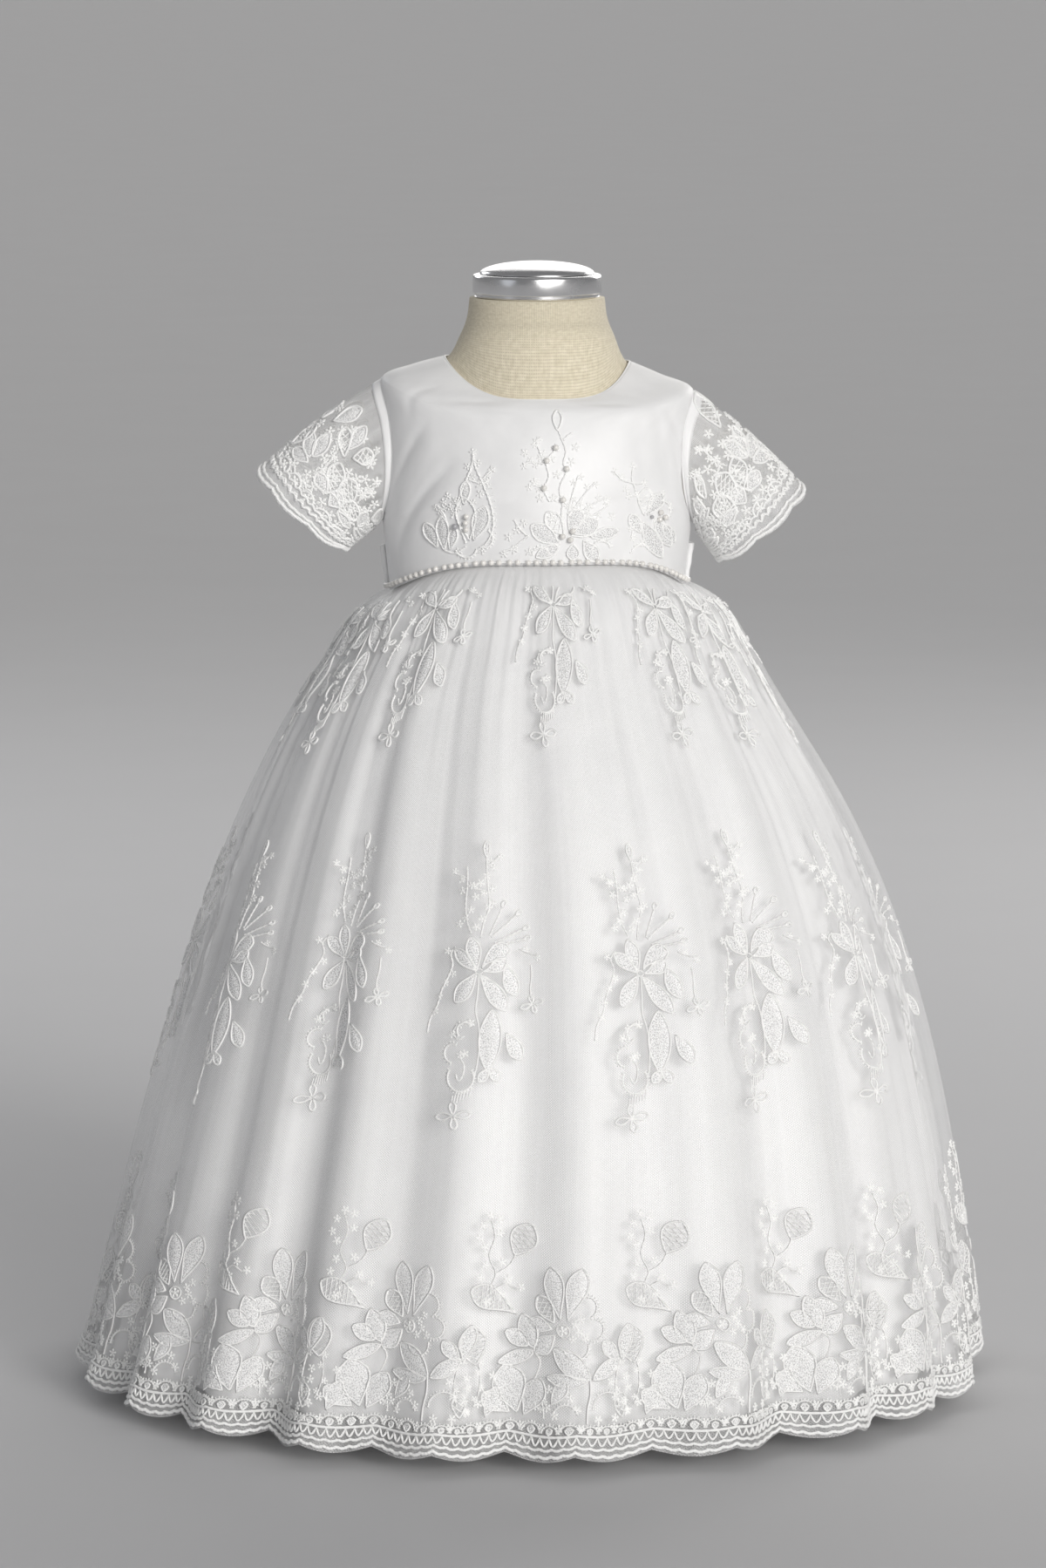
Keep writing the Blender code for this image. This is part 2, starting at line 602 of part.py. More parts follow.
def make_ties(satin):
    """The two ties round the back of the waist, and the bow that fastens them."""
    for name, side in (("tie_left", 1), ("tie_right", -1)):
        ends = sorted((side * TIE_START, side * TIE_END))

        def out(angle):
            loose = max(0.0, (TIE_SETTLED - abs(angle)) / (TIE_SETTLED - TIE_START))
            return CLOTH + SEAM + TIE_STAND_OFF * loose**2

        panel(name, TIE_ROWS, lambda row: ends[0], lambda row: ends[1], TIE_COLUMNS, satin, out)

    tie_face = on_bodice(180, TIE_ROWS[1], CLOTH + SEAM)
    knot_centre = tie_face + Vector((0, SEAM + KNOT_SIZE.y / 2, 0))
    bpy.ops.mesh.primitive_cube_add(size=1)
    knot = bpy.context.object
    knot.name = knot.data.name = "bow_knot"
    knot.data.transform(Matrix.Translation(knot_centre) @ Matrix.Diagonal((*KNOT_SIZE, 1)))
    soften = knot.modifiers.new("soften", "BEVEL")
    soften.width = KNOT_ROUNDING
    soften.segments = 2
    knot.data.materials.append(satin)
    for holder in knot.users_collection:
        holder.objects.unlink(knot)
    COLLECTION.objects.link(knot)

    for name, side in (("bow_loop_left", 1), ("bow_loop_right", -1)):
        rows = []
        for i in range(LOOP_STEPS + 1):
            turn = 2 * math.pi * (LOOP_SLIT + (1 - 2 * LOOP_SLIT) * i / LOOP_STEPS)
            away = (1 - math.cos(turn)) / 2
            opened = math.sin(math.pi / 2 * min(1, away / LOOP_FULL))
            half = LOOP_ROOT_HALF + (LOOP_HALF - LOOP_ROOT_HALF) * opened
            x = side * (KNOT_SIZE.x / 2 + SEAM + LOOP_LENGTH * away)
            swell = LOOP_SWELL_IN if turn < math.pi else LOOP_SWELL_OUT
            y = knot_centre.y + LOOP_LEAN * away**2 - swell * math.sin(turn)
            z = knot_centre.z - LOOP_DROOP * away**2
            line = [Vector((x, y, z + half * u)) for u in (-1, -0.35, 0.35, 1)]
            rows.append(line if side > 0 else line[::-1])
        lofted(name, rows, satin)

    for name, (top_angle, end_angle) in TAIL_ANGLES.items():
        rows = []
        for drop in reversed(TAIL_DROPS):
            share = drop / TAIL_DROPS[-1]
            middle = 180 + top_angle + (end_angle - top_angle) * share
            half = TAIL_HALF_WIDTH * (TAIL_PINCH + (1 - TAIL_PINCH) * min(1.0, share / TAIL_FULL))
            depth = abs(skirt_point(180, drop).y)
            spread = math.degrees(half / depth)
            line = []
            for u in (-1, 0, 1):
                low = drop + TAIL_SLANT * u * (share == 1.0)
                angle = middle + spread * u
                away = outward(skirt_point, angle, low, 0.004)
                line.append(skirt_point(angle, low) + away * (TAIL_STAND_OFF + CLOTH))
            rows.append(line)
        lofted(name, rows, satin)


# ---------------------------------------------------------------- the dress form
def form_rows():
    """Closed rows of the torso and neck, from the hips to the neck plate."""
    angles = [-180 + 360 * i / FORM_COLUMNS for i in range(FORM_COLUMNS)]

    def own_rows(table):
        levels = []
        for row in table:
            places = [oval(angle, row.half_width, row.front, row.back) for angle in angles]
            levels.append([Vector((x, y, row.z)) * MM for x, y, _ in places])
        return levels

    under_bodice = []
    for row in FORM_BODICE_ROWS:
        ease = FORM_WAIST_EASE if row < 1 else FORM_EASE if row < SHOULDER_ROW else FORM_GAP
        under_bodice.append([on_bodice(angle, row, -CLOTH - ease) for angle in angles])
    return own_rows(FORM_LOWER) + under_bodice + own_rows(FORM_NECK)


def make_form(linen, chrome, paint):
    closed_loft("form_torso", form_rows(), linen)
    plate_top = NECK_PLATE_Z + NECK_PLATE_HEIGHT
    plate = [
        (0, plate_top),
        (NECK_PLATE_RADIUS - PLATE_BEVEL, plate_top),
        (NECK_PLATE_RADIUS, plate_top - PLATE_BEVEL),
        (NECK_PLATE_RADIUS, NECK_PLATE_Z + PLATE_BEVEL),
        (NECK_PLATE_RADIUS - PLATE_BEVEL, NECK_PLATE_Z),
        (0, NECK_PLATE_Z),
    ]
    turned("form_neck_plate", plate, chrome, FORM_COLUMNS)
    cap_foot = plate_top + SEAM
    cap_radius = NECK_PLATE_RADIUS - CAP_INSET
    dome = []
    for i in range(CAP_STEPS + 1):
        turn = math.radians(90 * i / CAP_STEPS)
        dome.append((cap_radius * math.sin(turn), cap_foot + CAP_HEIGHT * math.cos(turn)))
    turned("form_neck_cap", dome + [(0, cap_foot)], chrome, FORM_COLUMNS)

    hole = POLE_RADIUS + SEAM
    base = [
        (0, BASE_HEIGHT),
        (hole, BASE_HEIGHT),
        (hole, BOSS_HEIGHT),
        (BOSS_RADIUS - BOSS_BEVEL, BOSS_HEIGHT),
        (BOSS_RADIUS, BOSS_HEIGHT - BOSS_BEVEL),
        (BOSS_RADIUS + 2 * MM, BASE_HEIGHT),
        (BASE_RADIUS - BASE_BEVEL, BASE_HEIGHT),
        (BASE_RADIUS, BASE_HEIGHT - BASE_BEVEL),
        (BASE_RADIUS, 1 * MM),
        (BASE_RADIUS - 1 * MM, 0),
        (0, 0),
    ]
    turned("form_base", base, paint, BASE_COLUMNS)
    foot = BASE_HEIGHT + SEAM
    head = FORM_LOWER[0].z * MM - SEAM
    pole = [(0, head), (POLE_RADIUS, head), (POLE_RADIUS, foot), (0, foot)]
    turned("form_pole", pole, paint, POLE_COLUMNS)


# ---------------------------------------------------------------- build
clear_scene()
COLLECTION = bpy.data.collections.new("christening_gown_on_dress_form")
bpy.context.scene.collection.children.link(COLLECTION)

SATIN = finish((0.90, 0.90, 0.91), 0.35, name="satin")
NET = finish((0.88, 0.88, 0.90), 0.8, name="net")
LACE = finish((0.93, 0.93, 0.93), 0.6, name="lace")
PEARL = finish((0.90, 0.88, 0.84), 0.2, name="pearl")
LINEN = finish((0.66, 0.59, 0.45), 0.9, name="linen")
CHROME = finish((0.80, 0.80, 0.82), 0.12, 1.0, name="chrome")
PAINT = finish((0.12, 0.12, 0.13), 0.4, name="painted_steel")

make_bodice(SATIN)
make_placket(SATIN, PEARL)
make_sleeves(NET)
make_skirts(SATIN, NET)
make_pearl_strand(PEARL)
make_appliques(LACE)
make_ties(SATIN)
make_form(LINEN, CHROME, PAINT)
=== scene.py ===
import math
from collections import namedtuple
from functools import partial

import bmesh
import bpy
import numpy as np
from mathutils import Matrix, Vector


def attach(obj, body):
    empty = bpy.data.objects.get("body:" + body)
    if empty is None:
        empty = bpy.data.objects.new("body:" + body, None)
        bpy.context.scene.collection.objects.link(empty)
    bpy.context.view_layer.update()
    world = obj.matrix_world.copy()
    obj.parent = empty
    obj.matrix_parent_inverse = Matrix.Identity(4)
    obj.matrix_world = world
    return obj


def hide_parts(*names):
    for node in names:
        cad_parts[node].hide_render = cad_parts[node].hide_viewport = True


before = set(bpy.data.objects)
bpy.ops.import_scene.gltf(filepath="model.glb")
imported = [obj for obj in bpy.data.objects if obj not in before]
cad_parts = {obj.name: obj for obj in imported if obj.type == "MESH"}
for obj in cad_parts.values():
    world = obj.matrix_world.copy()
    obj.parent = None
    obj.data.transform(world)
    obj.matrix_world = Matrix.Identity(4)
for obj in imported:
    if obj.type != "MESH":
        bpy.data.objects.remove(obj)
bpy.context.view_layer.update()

# %% [markdown]
# # A christening gown on a dress form
#
# The object is an infant's white christening gown on a limbless linen dress form: a satin bodice,
# two sheer net sleeves, a satin skirt under a wide net skirt, a strand of pearls round the front
# of the waist, corded embroidery, and two ties that meet in a bow at the back.
#
# Each step below makes one part. The loaded frame gives the solids that the pieces stand for, and
# its box is kept.

MM = 0.001

# %% [markdown]
# ## The camera
#
# The camera stands four metres in front of the gown, a little above its neck, and looks slightly
# down, so that the hem shows as a shallow bow. Its long lens keeps the perspective weak.

# %% The camera
EYE = Vector((-0.008, -4.0, 0.897))
AIM = Vector((-0.008, 0.0, 0.345))
VIEW_HEIGHT = 12.7  # degrees from the bottom to the top of the picture


def stand_at(name, data, place, look):
    """A camera or lamp at a place, turned to look along a direction."""
    thing = bpy.data.objects.new(name, data)
    thing.location = place
    thing.rotation_mode = "QUATERNION"
    thing.rotation_quaternion = look.to_track_quat("-Z", "Y")
    bpy.context.scene.collection.objects.link(thing)
    return thing


lens = bpy.data.cameras.new("camera")
lens.sensor_fit = "VERTICAL"
lens.sensor_width = lens.sensor_height = 36.0
lens.lens = lens.sensor_height / 2 / math.tan(math.radians(VIEW_HEIGHT / 2))
bpy.context.scene.camera = stand_at("camera", lens, EYE, AIM - EYE)
print("lens:", round(lens.lens, 1), "mm")

# %% [markdown]
# ## The shapes that the cloth follows
#
# Every panel of the gown lies on one of four surfaces, each a function of two numbers. On the
# bodice they are the angle round the body, with 0 in front and 90 at the wearer's left, and the
# row, from 0 at the waist to 8 at the neckline. On the two skirts they are the phase, which counts
# folds from crest to crest, and the drop, from 0 at the waist to 1 at the hem. On a sleeve they
# are the turn round the arm and the station, from 0 at the armhole to 1 at the cuff.
#
# Short tables hold the sizes, in millimetres, and a smooth curve runs through each column. The
# functions take whole arrays, because the lace asks for many thousands of places.

# %% Tables of the bodice
BodiceRow = namedtuple("BodiceRow", "half_width front back z_side z_front z_back left_drop")
BODICE = BodiceRow(*np.array([
    (84, 67, 60, 457.8, 478, 466, -3.6),  # waist seam
    (86, 68, 60.5, 477.5, 495.5, 483.5, -2),
    (88, 67.5, 60.5, 497.5, 512.5, 501.5, 0.5),  # bottom of the armholes
    (88.6, 65.5, 60, 516.5, 527.5, 518.5, 2.5),
    (89, 62, 58.5, 537, 542, 537, 4),  # middle of the armholes
    (89.2, 57.5, 56, 558.5, 554.5, 556, 5.5),
    (88.5, 53, 52.5, 578.5, 563, 570, 6.5),  # tips of the shoulders
    (71, 49.5, 47, 586, 567, 580, 6),
    (52.3, 46.5, 42.5, 591, 569.6, 586, 3),  # neckline
]).T)
ARMPIT_ROW, SHOULDER_ROW, NECK_ROW = 2, 6, 8
CURVE_POWER_RIGHT, CURVE_POWER_LEFT = 3.2, 5.0  # how suddenly the rows turn down at each side
FRONT_ARMHOLE, BACK_ARMHOLE = 22.0, 18.0  # degrees that each armhole bites into front and back
CLOTH, SEAM = 1 * MM, 0.3 * MM  # the frame's thickness of cloth and its gap between pieces
print(len(BODICE.front), "rows, chest", 2 * BODICE.half_width.max(), "mm wide")

# %% Tables of the skirts
SKIRT_DROP, SKIRT_HALF_WIDTH, SKIRT_SHIFT = np.array([
    (0, 84, 0), (0.005, 90.5, 1.4), (0.016, 100, 1.8), (0.028, 105.8, 1.8),
    (0.084, 122.8, 1.3), (0.14, 138.5, 0.5), (0.196, 153.5, 1.3), (0.252, 167.6, 2.9),
    (0.364, 191, 5.3), (0.48, 209.6, 6.2), (0.596, 224.6, 6), (0.707, 237, 4.4),
    (0.818, 247.6, 2.5), (0.929, 257.6, 0.2), (1, 263.5, -3),
]).T
HEM_Z, SCALLOP_HEIGHT = 8 * MM, 4 * MM
FOLD_CRESTS, FOLD_VALLEYS = np.array([  # degrees round the body, and the valley after it in mm
    (-168, 16), (-147, 15), (-127, 18), (-108, 15), (-90, 12), (-74, 15), (-59, 13), (-44, 19),
    (-29, 12), (-12, 15), (5, 12), (25, 20), (43, 14), (57, 10), (71, 22), (96, 15), (115, 17),
    (134, 14), (153, 17), (172, 15),
], float).T
FOLD_COUNT, FOLD_GROWTH = len(FOLD_CRESTS), 0.8
UNDERSKIRT_HEM, UNDERSKIRT_FOLD_SHARE = 0.962, 0.8
GAP_DROP, UNDERSKIRT_GAP = np.array([  # the room between the satin and the net, in mm
    (0, 2.6), (0.005, 5.6), (0.028, 5.2), (0.12, 6.6), (0.25, 9), (0.4, 13),
    (0.6, 13), (0.8, 11.5), (1, 9.5),
]).T
print(FOLD_COUNT, "folds, hem", 2 * SKIRT_HALF_WIDTH[-1], "mm wide")

# %% Reading a table smoothly
def smooth_between(values, at):
    """A smooth curve through values at 0, 1, 2 and so on (Catmull-Rom)."""
    values = np.asarray(values, float)
    ends = [2 * values[0] - values[1]], values, [2 * values[-1] - values[-2]]
    padded = np.concatenate(ends)
    i = np.clip(np.floor(at).astype(int), 0, len(values) - 2)
    s = np.asarray(at) - i
    before, here, after, beyond = (padded[i + k] for k in range(4))
    return 0.5 * (
        2 * here
        + (after - before) * s
        + (2 * before - 5 * here + 4 * after - beyond) * s**2
        + (3 * here - before - 3 * after + beyond) * s**3
    )


def smooth_table(places, values, at):
    """A smooth curve through values whose places are unevenly spaced."""
    slopes = np.gradient(values, places)
    i = np.clip(np.searchsorted(places, at, side="right") - 1, 0, len(places) - 2)
    step = places[i + 1] - places[i]
    t = (np.asarray(at) - places[i]) / step
    return (
        (2 * t**3 - 3 * t**2 + 1) * values[i]
        + (t**3 - 2 * t**2 + t) * step * slopes[i]
        + (3 * t**2 - 2 * t**3) * values[i + 1]
        + (t**3 - t**2) * step * slopes[i + 1]
    )


def body_row(name, row):
    return smooth_between(getattr(BODICE, name), row) * MM


def both(a, b):
    """Two numbers or arrays, brought to one shape."""
    return np.broadcast_arrays(np.asarray(a, float), np.asarray(b, float))


print("half width half way down:", smooth_table(SKIRT_DROP, SKIRT_HALF_WIDTH, 0.5).round(1), "mm")

# %% The bodice's surface
def bodice_base(angle, row):
    """Points of the bodice before its creases, (..., 3) in metres."""
    angle, row = both(angle, row)
    turn = np.radians(angle)
    at_front = np.cos(turn) >= 0
    on_left = np.mod(angle, 360) < 180
    depth = np.where(at_front, body_row("front", row), body_row("back", row))
    power = np.where(on_left, CURVE_POWER_LEFT, CURVE_POWER_RIGHT)
    share = 1 - np.abs(np.sin(turn)) ** power
    z_side = body_row("z_side", row) - np.where(on_left, body_row("left_drop", row), 0)
    z_middle = np.where(at_front, body_row("z_front", row), body_row("z_back", row))
    z = z_side + (z_middle - z_side) * share
    return np.stack([body_row("half_width", row) * np.sin(turn), -depth * np.cos(turn), z], -1)


def from_axis(points):
    """The direction away from the upright axis at each point."""
    return points * (1, 1, 0)


def normals_of(surface, a, b, steps, away=from_axis):
    """Unit normals of a surface at (a, b), turned to the side that away gives."""
    across = surface(a + steps[0], b) - surface(a - steps[0], b)
    along = surface(a, b + steps[1]) - surface(a, b - steps[1])
    normal = np.cross(across, along)
    normal /= np.maximum(np.linalg.norm(normal, axis=-1, keepdims=True), 1e-12)
    side = np.sign((normal * away(surface(a, b))).sum(-1, keepdims=True))
    return normal * np.where(side == 0, 1, side)


def moved_out(surface, a, b, out, steps, away=from_axis):
    """Points of a surface moved outwards along its normals."""
    a, b = both(a, b)
    return surface(a, b) + normals_of(surface, a, b, steps, away) * np.broadcast_to(out, a.shape)[..., None]


BODICE_STEPS, SKIRT_STEPS, SLEEVE_STEPS = (1.0, 0.02), (0.01, 0.002), (2.0, 0.01)


def bodice_normal(angle, row):
    return normals_of(bodice_base, angle, row, BODICE_STEPS)


print("waist front:", bodice_base(0, 0).round(4))

# %% [markdown]
# ## Creases of the bodice
#
# Satin on a small form pulls into soft creases, most of them from the front of each armhole down
# to the side seam, and a few across the back. A simulation would put them anywhere, so they are
# listed one by one: each is a line between two places, with a depth and a width, and fades out at
# both ends. A minus depth is a ridge.

# %% Creases as troughs and ridges
CREASES = (  # angle and row of the start, angle and row of the end, depth and width in mm
    (-45, 4.9, -66, 3, 1.1, 3.2), (-40, 4.4, -62, 2.3, -0.7, 4), (-32, 3.6, -66, 1.2, 1.3, 3.6),
    (-24, 3.1, -56, 1.2, -0.7, 4.6), (-52, 7, -54, 5.2, 0.6, 4), (-20, 7.3, -46, 5.9, 0.5, 5.5),
    (-42, 0.5, -16, 1.5, 0.4, 5), (-4, 5.8, -20, 3.2, 0.35, 7), (53, 5.8, 68, 4.2, 0.9, 3.2),
    (60, 4.3, 78, 2, 0.9, 3.4), (47, 6, 58, 2.8, 0.6, 5), (38, 5, 54, 1, 0.4, 6),
    (24, 6.9, 44, 6.4, 0.4, 5), (20, 3.4, 34, 0.9, 0.35, 6.5), (-110, 4.2, -146, 2.6, 0.7, 4.5),
    (-118, 2.6, -158, 1.4, 0.6, 4.5), (112, 4.4, 150, 2.9, 0.7, 4.5), (120, 2.5, 160, 1.2, 0.6, 4.5),
    (104, 1.4, 140, 0.6, 0.5, 4), (-102, 1.5, -138, 0.5, 0.5, 4),
)
DEGREE_MM, ROW_MM = 1.45, 16.0  # length of one degree round the bodice and height of one row
HIGHEST_RIDGE = 0.4 * MM


def crease_depth(angle, row):
    """How far the creases push the satin in, in metres."""
    to_mm = np.array((DEGREE_MM, ROW_MM))
    place = np.stack([angle, row], -1) * to_mm
    total = np.zeros(np.shape(angle))
    for *start, end_angle, end_row, depth, width in CREASES:
        start = np.array(start) * to_mm
        line = np.array((end_angle, end_row)) * to_mm - start
        share = np.clip(((place - start) @ line) / (line @ line), 0, 1)
        off = np.linalg.norm(place - start - share[..., None] * line, axis=-1)
        fade = np.sin(np.pi * np.clip(share * 0.9 + 0.05, 0, 1)) ** 0.6
        total += depth * fade * np.exp(-((off / width) ** 2))
    return total * MM


def bodice_point(angle, row, out=0.0):
    """Points of the bodice with its creases, moved outwards by out."""
    angle, row = both(angle, row)
    shift = np.asarray(out) - np.maximum(crease_depth(angle, row), -HIGHEST_RIDGE)
    return moved_out(bodice_base, angle, row, shift, BODICE_STEPS)


print("chest front:", bodice_point(0, 3).round(4), "with", len(CREASES), "creases")

# %% [markdown]
# ## The skirts' surfaces
#
# The two skirts share one outline and twenty folds, which open towards the hem, each with its own
# width and depth. The net is gathered into the waist seam, so it also has many small ripples that
# are deep below the seam and fade out further down. The satin's folds are shallower.

# %% Folds, ripples and the skirts' outline
unrolled = np.concatenate([FOLD_CRESTS + 360 * turn for turn in (-1, 0, 1, 2)])


def valley(phase, drop):
    """How far the folds push the cloth in from the skirt's outline."""
    depth = FOLD_VALLEYS[np.mod(np.floor(phase).astype(int), FOLD_COUNT)] * MM
    wave = (1 - np.cos(2 * np.pi * phase)) / 2
    return depth * wave * np.maximum(drop, 0) ** FOLD_GROWTH


def ripples(phase, drop, small_share=1.0):
    """How far the net's small and broad gathers push it in."""
    turn = 2 * np.pi * phase / FOLD_COUNT
    small = 0.5 + 0.5 * np.sin(118 * turn + 1.6 * np.sin(13 * turn) + 1.1 * np.sin(29 * turn))
    broad = 0.5 + 0.5 * np.sin(57 * turn + 1.9 * np.sin(11 * turn + 1.0))
    start = np.clip(drop / 0.02, 0, 1)
    near = start * np.exp(-np.maximum(drop - 0.02, 0) / 0.09)
    far = start * np.exp(-np.maximum(drop - 0.1, 0) / 0.5)
    return (1.5 * small_share * small * near + 1.7 * broad * far) * MM


def outline_at(angle, drop, inward=0.0):
    """Points of the skirt's outline at an angle round the body, moved inwards."""
    turn = np.radians(angle)
    half_width = smooth_table(SKIRT_DROP, SKIRT_HALF_WIDTH, drop) * MM
    depth_at_waist = np.where(np.cos(turn) >= 0, BODICE.front[0], BODICE.back[0])
    depth = half_width - (BODICE.half_width[0] - depth_at_waist) * MM * (1 - drop)
    top = bodice_base(angle, np.zeros_like(angle))[..., 2] - SEAM
    z = top + (HEM_Z - top) * drop
    x = (half_width - inward) * np.sin(turn) + smooth_table(SKIRT_DROP, SKIRT_SHIFT, drop) * MM
    return np.stack([x, -(depth - inward) * np.cos(turn), z], -1)


def skirt_outline(phase, drop, inward):
    angle = np.interp(phase, np.arange(len(unrolled)) - FOLD_COUNT, unrolled)
    return outline_at(angle, drop, inward)


def hanging(phase, drop, gathers=None):
    """Points of the net with its folds and scalloped hem, and a share of its gathers."""
    phase, drop = both(phase, drop)
    inward = valley(phase, drop)
    if gathers is not None:
        inward = inward + ripples(phase, drop, gathers)
    point = skirt_outline(phase, drop, inward)
    lift = SCALLOP_HEIGHT * (1 - np.abs(np.sin(2 * np.pi * phase)))
    point[..., 2] += lift * np.clip((drop - 0.95) / 0.05, 0, 1)
    return point


def net_surface(phase, drop):
    return hanging(phase, drop, 1.0)


def lace_surface(phase, drop):
    """Points of the stiff embroidery, which bridges the small gathers."""
    return hanging(phase, drop, 0.25)


def satin_skirt_surface(phase, drop):
    """Points of the satin skirt under the net."""
    gap = smooth_table(GAP_DROP, UNDERSKIRT_GAP, drop) * MM
    return skirt_outline(phase, drop, gap + valley(phase, drop) * UNDERSKIRT_FOLD_SHARE)


print("hem front:", net_surface(10.0, 1.0).round(4))

# %% [markdown]
# ## The sleeves' surface
#
# Each sleeve is a short flared tube of net. It starts at the armhole, whose edge lies on the
# bodice, and runs out and down to an oval cuff. The upper side is a little puffed.

# %% Sleeves from armhole to cuff
Sleeve = namedtuple("Sleeve", "side outer_x outer_z lower_x lower_z half_depth")
SLEEVES = {
    "sleeve_right": Sleeve(-1, 158, 526, 107.5, 481.5, 21),
    "sleeve_left": Sleeve(1, 151.5, 516, 102.5, 475.5, 21),
}
SLEEVE_START, SLEEVE_PUFF, CUFF_FORWARD, CUFF_SCALLOP = 1.6 * MM, 2.5 * MM, 5 * MM, 2.2 * MM
CUFF_SCALLOPS = 7
ARMHOLE_MIDDLE, ARMHOLE_HALF = (ARMPIT_ROW + SHOULDER_ROW) / 2, (SHOULDER_ROW - ARMPIT_ROW) / 2


def armhole_lean(row, bite):
    """Degrees that the armhole bites into a panel at a row."""
    share = (row - ARMHOLE_MIDDLE) / ARMHOLE_HALF
    return bite * np.sqrt(np.maximum(0.0, 1 - share * share))


def armhole_point(side, turn, out=-CLOTH / 2):
    """Points on the armhole's edge: 0 is the shoulder, 90 the front, 180 the armpit, 270 the back."""
    row = ARMHOLE_MIDDLE + ARMHOLE_HALF * np.cos(np.radians(turn))
    front = np.mod(turn, 360) <= 180
    lean = np.where(front, -armhole_lean(row, FRONT_ARMHOLE), armhole_lean(row, BACK_ARMHOLE))
    return moved_out(bodice_base, side * (90 + lean), row, out, BODICE_STEPS)


def sleeve_axis(sleeve):
    """The outer and lower ends of the cuff, and the unit direction from the armhole out to it."""
    outer = np.array((sleeve.side * sleeve.outer_x, 0, sleeve.outer_z)) * MM
    lower = np.array((sleeve.side * sleeve.lower_x, 0, sleeve.lower_z)) * MM
    middle = armhole_point(sleeve.side, np.array([0.0, 180.0])).mean(axis=0) * (1, 0, 1)
    along = (outer + lower) / 2 - middle
    return outer, lower, along / np.linalg.norm(along)


def sleeve_surface(sleeve, turn, station):
    """Points of a sleeve at a turn round it and a station from armhole to cuff."""
    turn, station = both(turn, station)
    outer, lower, along = sleeve_axis(sleeve)
    angle = np.radians(turn)[..., None]
    centre, half = (outer + lower) / 2, (outer - lower) / 2
    forward = along * CUFF_FORWARD + (0, -sleeve.half_depth * MM, 0)
    start = armhole_point(sleeve.side, turn) + along * SLEEVE_START
    end = centre + half * np.cos(angle) + forward * np.sin(angle)
    scallop = np.abs(np.sin(np.radians(turn) * CUFF_SCALLOPS / 2)) * CUFF_SCALLOP
    point = start + (end - start) * station[..., None]
    point = point + along * (scallop * np.clip((station - 0.85) / 0.15, 0, 1))[..., None]
    away = sleeve_away(sleeve)(point)
    away /= np.linalg.norm(away, axis=-1, keepdims=True)
    puff = SLEEVE_PUFF * np.sin(np.pi * np.clip(station, 0, 1)) * (1 + np.cos(np.radians(turn))) / 2
    return point + away * puff[..., None]


def sleeve_away(sleeve):
    """A function that gives the direction away from the sleeve's own axis."""
    outer, lower, along = sleeve_axis(sleeve)

    def away(points):
        offset = points - (outer + lower) / 2
        return offset - along * (offset @ along)[..., None]

    return away


def sleeve_place(sleeve, turn, station, out=0.0):
    """Points of a sleeve moved outwards along its normals."""
    surface = partial(sleeve_surface, sleeve)
    return moved_out(surface, turn, station, out, SLEEVE_STEPS, sleeve_away(sleeve))


for name, sleeve in SLEEVES.items():
    print(name, "leaves the armhole along", sleeve_axis(sleeve)[2].round(2))

# %% [markdown]
# ## Finishes
#
# Cloth looks like cloth because of its threads, so each finish starts from a pattern at the real
# size of its weave. The satin's diagonal weave, the net's round holes, the thread's twist and the
# linen's plain weave are shader node groups, built once. A group puts out masks and heights only.
# The Principled shader stays in each material, with its plain values on its own sockets.
#
# A small helper adds a node, sets its inputs and returns an output, so that a pattern reads like
# a formula. It serves geometry too.

# %% Helpers for node trees
def feed(tree, sockets, values=(), **named):
    """Sets sockets, given by name or index, from numbers or from other nodes' outputs."""
    values = {**dict(values), **{name.replace("_", " "): value for name, value in named.items()}}
    for key, value in values.items():
        if isinstance(value, bpy.types.NodeSocket):
            tree.links.new(value, sockets[key])
        else:
            sockets[key].default_value = value


def add_node(tree, kind, inputs=(), output=0, **settings):
    """Adds a node with its settings and inputs, and returns one of its outputs."""
    made = tree.nodes.new(kind)
    for name, value in settings.items():
        setattr(made, name, value)
    feed(tree, made.inputs, inputs)
    return made.outputs[output]


def calculate(tree, operation, *values):
    return add_node(tree, "ShaderNodeMath", dict(enumerate(values)), operation=operation)


def product(tree, a, b):
    return calculate(tree, "MULTIPLY", a, b)


def remap(tree, value, low, high, new_low=0.0, new_high=1.0):
    """Value from low to high, turned into new_low to new_high and held there."""
    inputs = {"Value": value, "From Min": low, "From Max": high, "To Min": new_low, "To Max": new_high}
    return add_node(tree, "ShaderNodeMapRange", inputs)


def noise(tree, place, scale, detail):
    return add_node(tree, "ShaderNodeTexNoise", {"Vector": place, "Scale": scale, "Detail": detail})


def axes(tree, place):
    return add_node(tree, "ShaderNodeSeparateXYZ", {0: place}).node.outputs


def new_group(kind, name, inputs, outputs):
    """An empty node group. An input gives its plain value, or the kind of its socket as a word."""
    group = bpy.data.node_groups.new(name, kind + "NodeTree")
    for label, value in inputs.items():
        word = value if isinstance(value, str) else type(value).__name__.capitalize()
        socket = group.interface.new_socket(label, in_out="INPUT", socket_type="NodeSocket" + word)
        if word != value:
            socket.default_value = value
    for label in outputs:
        word = "Geometry" if kind == "Geometry" else "Float"
        group.interface.new_socket(label, in_out="OUTPUT", socket_type="NodeSocket" + word)
    return group, group.nodes.new("NodeGroupInput").outputs, group.nodes.new("NodeGroupOutput").inputs

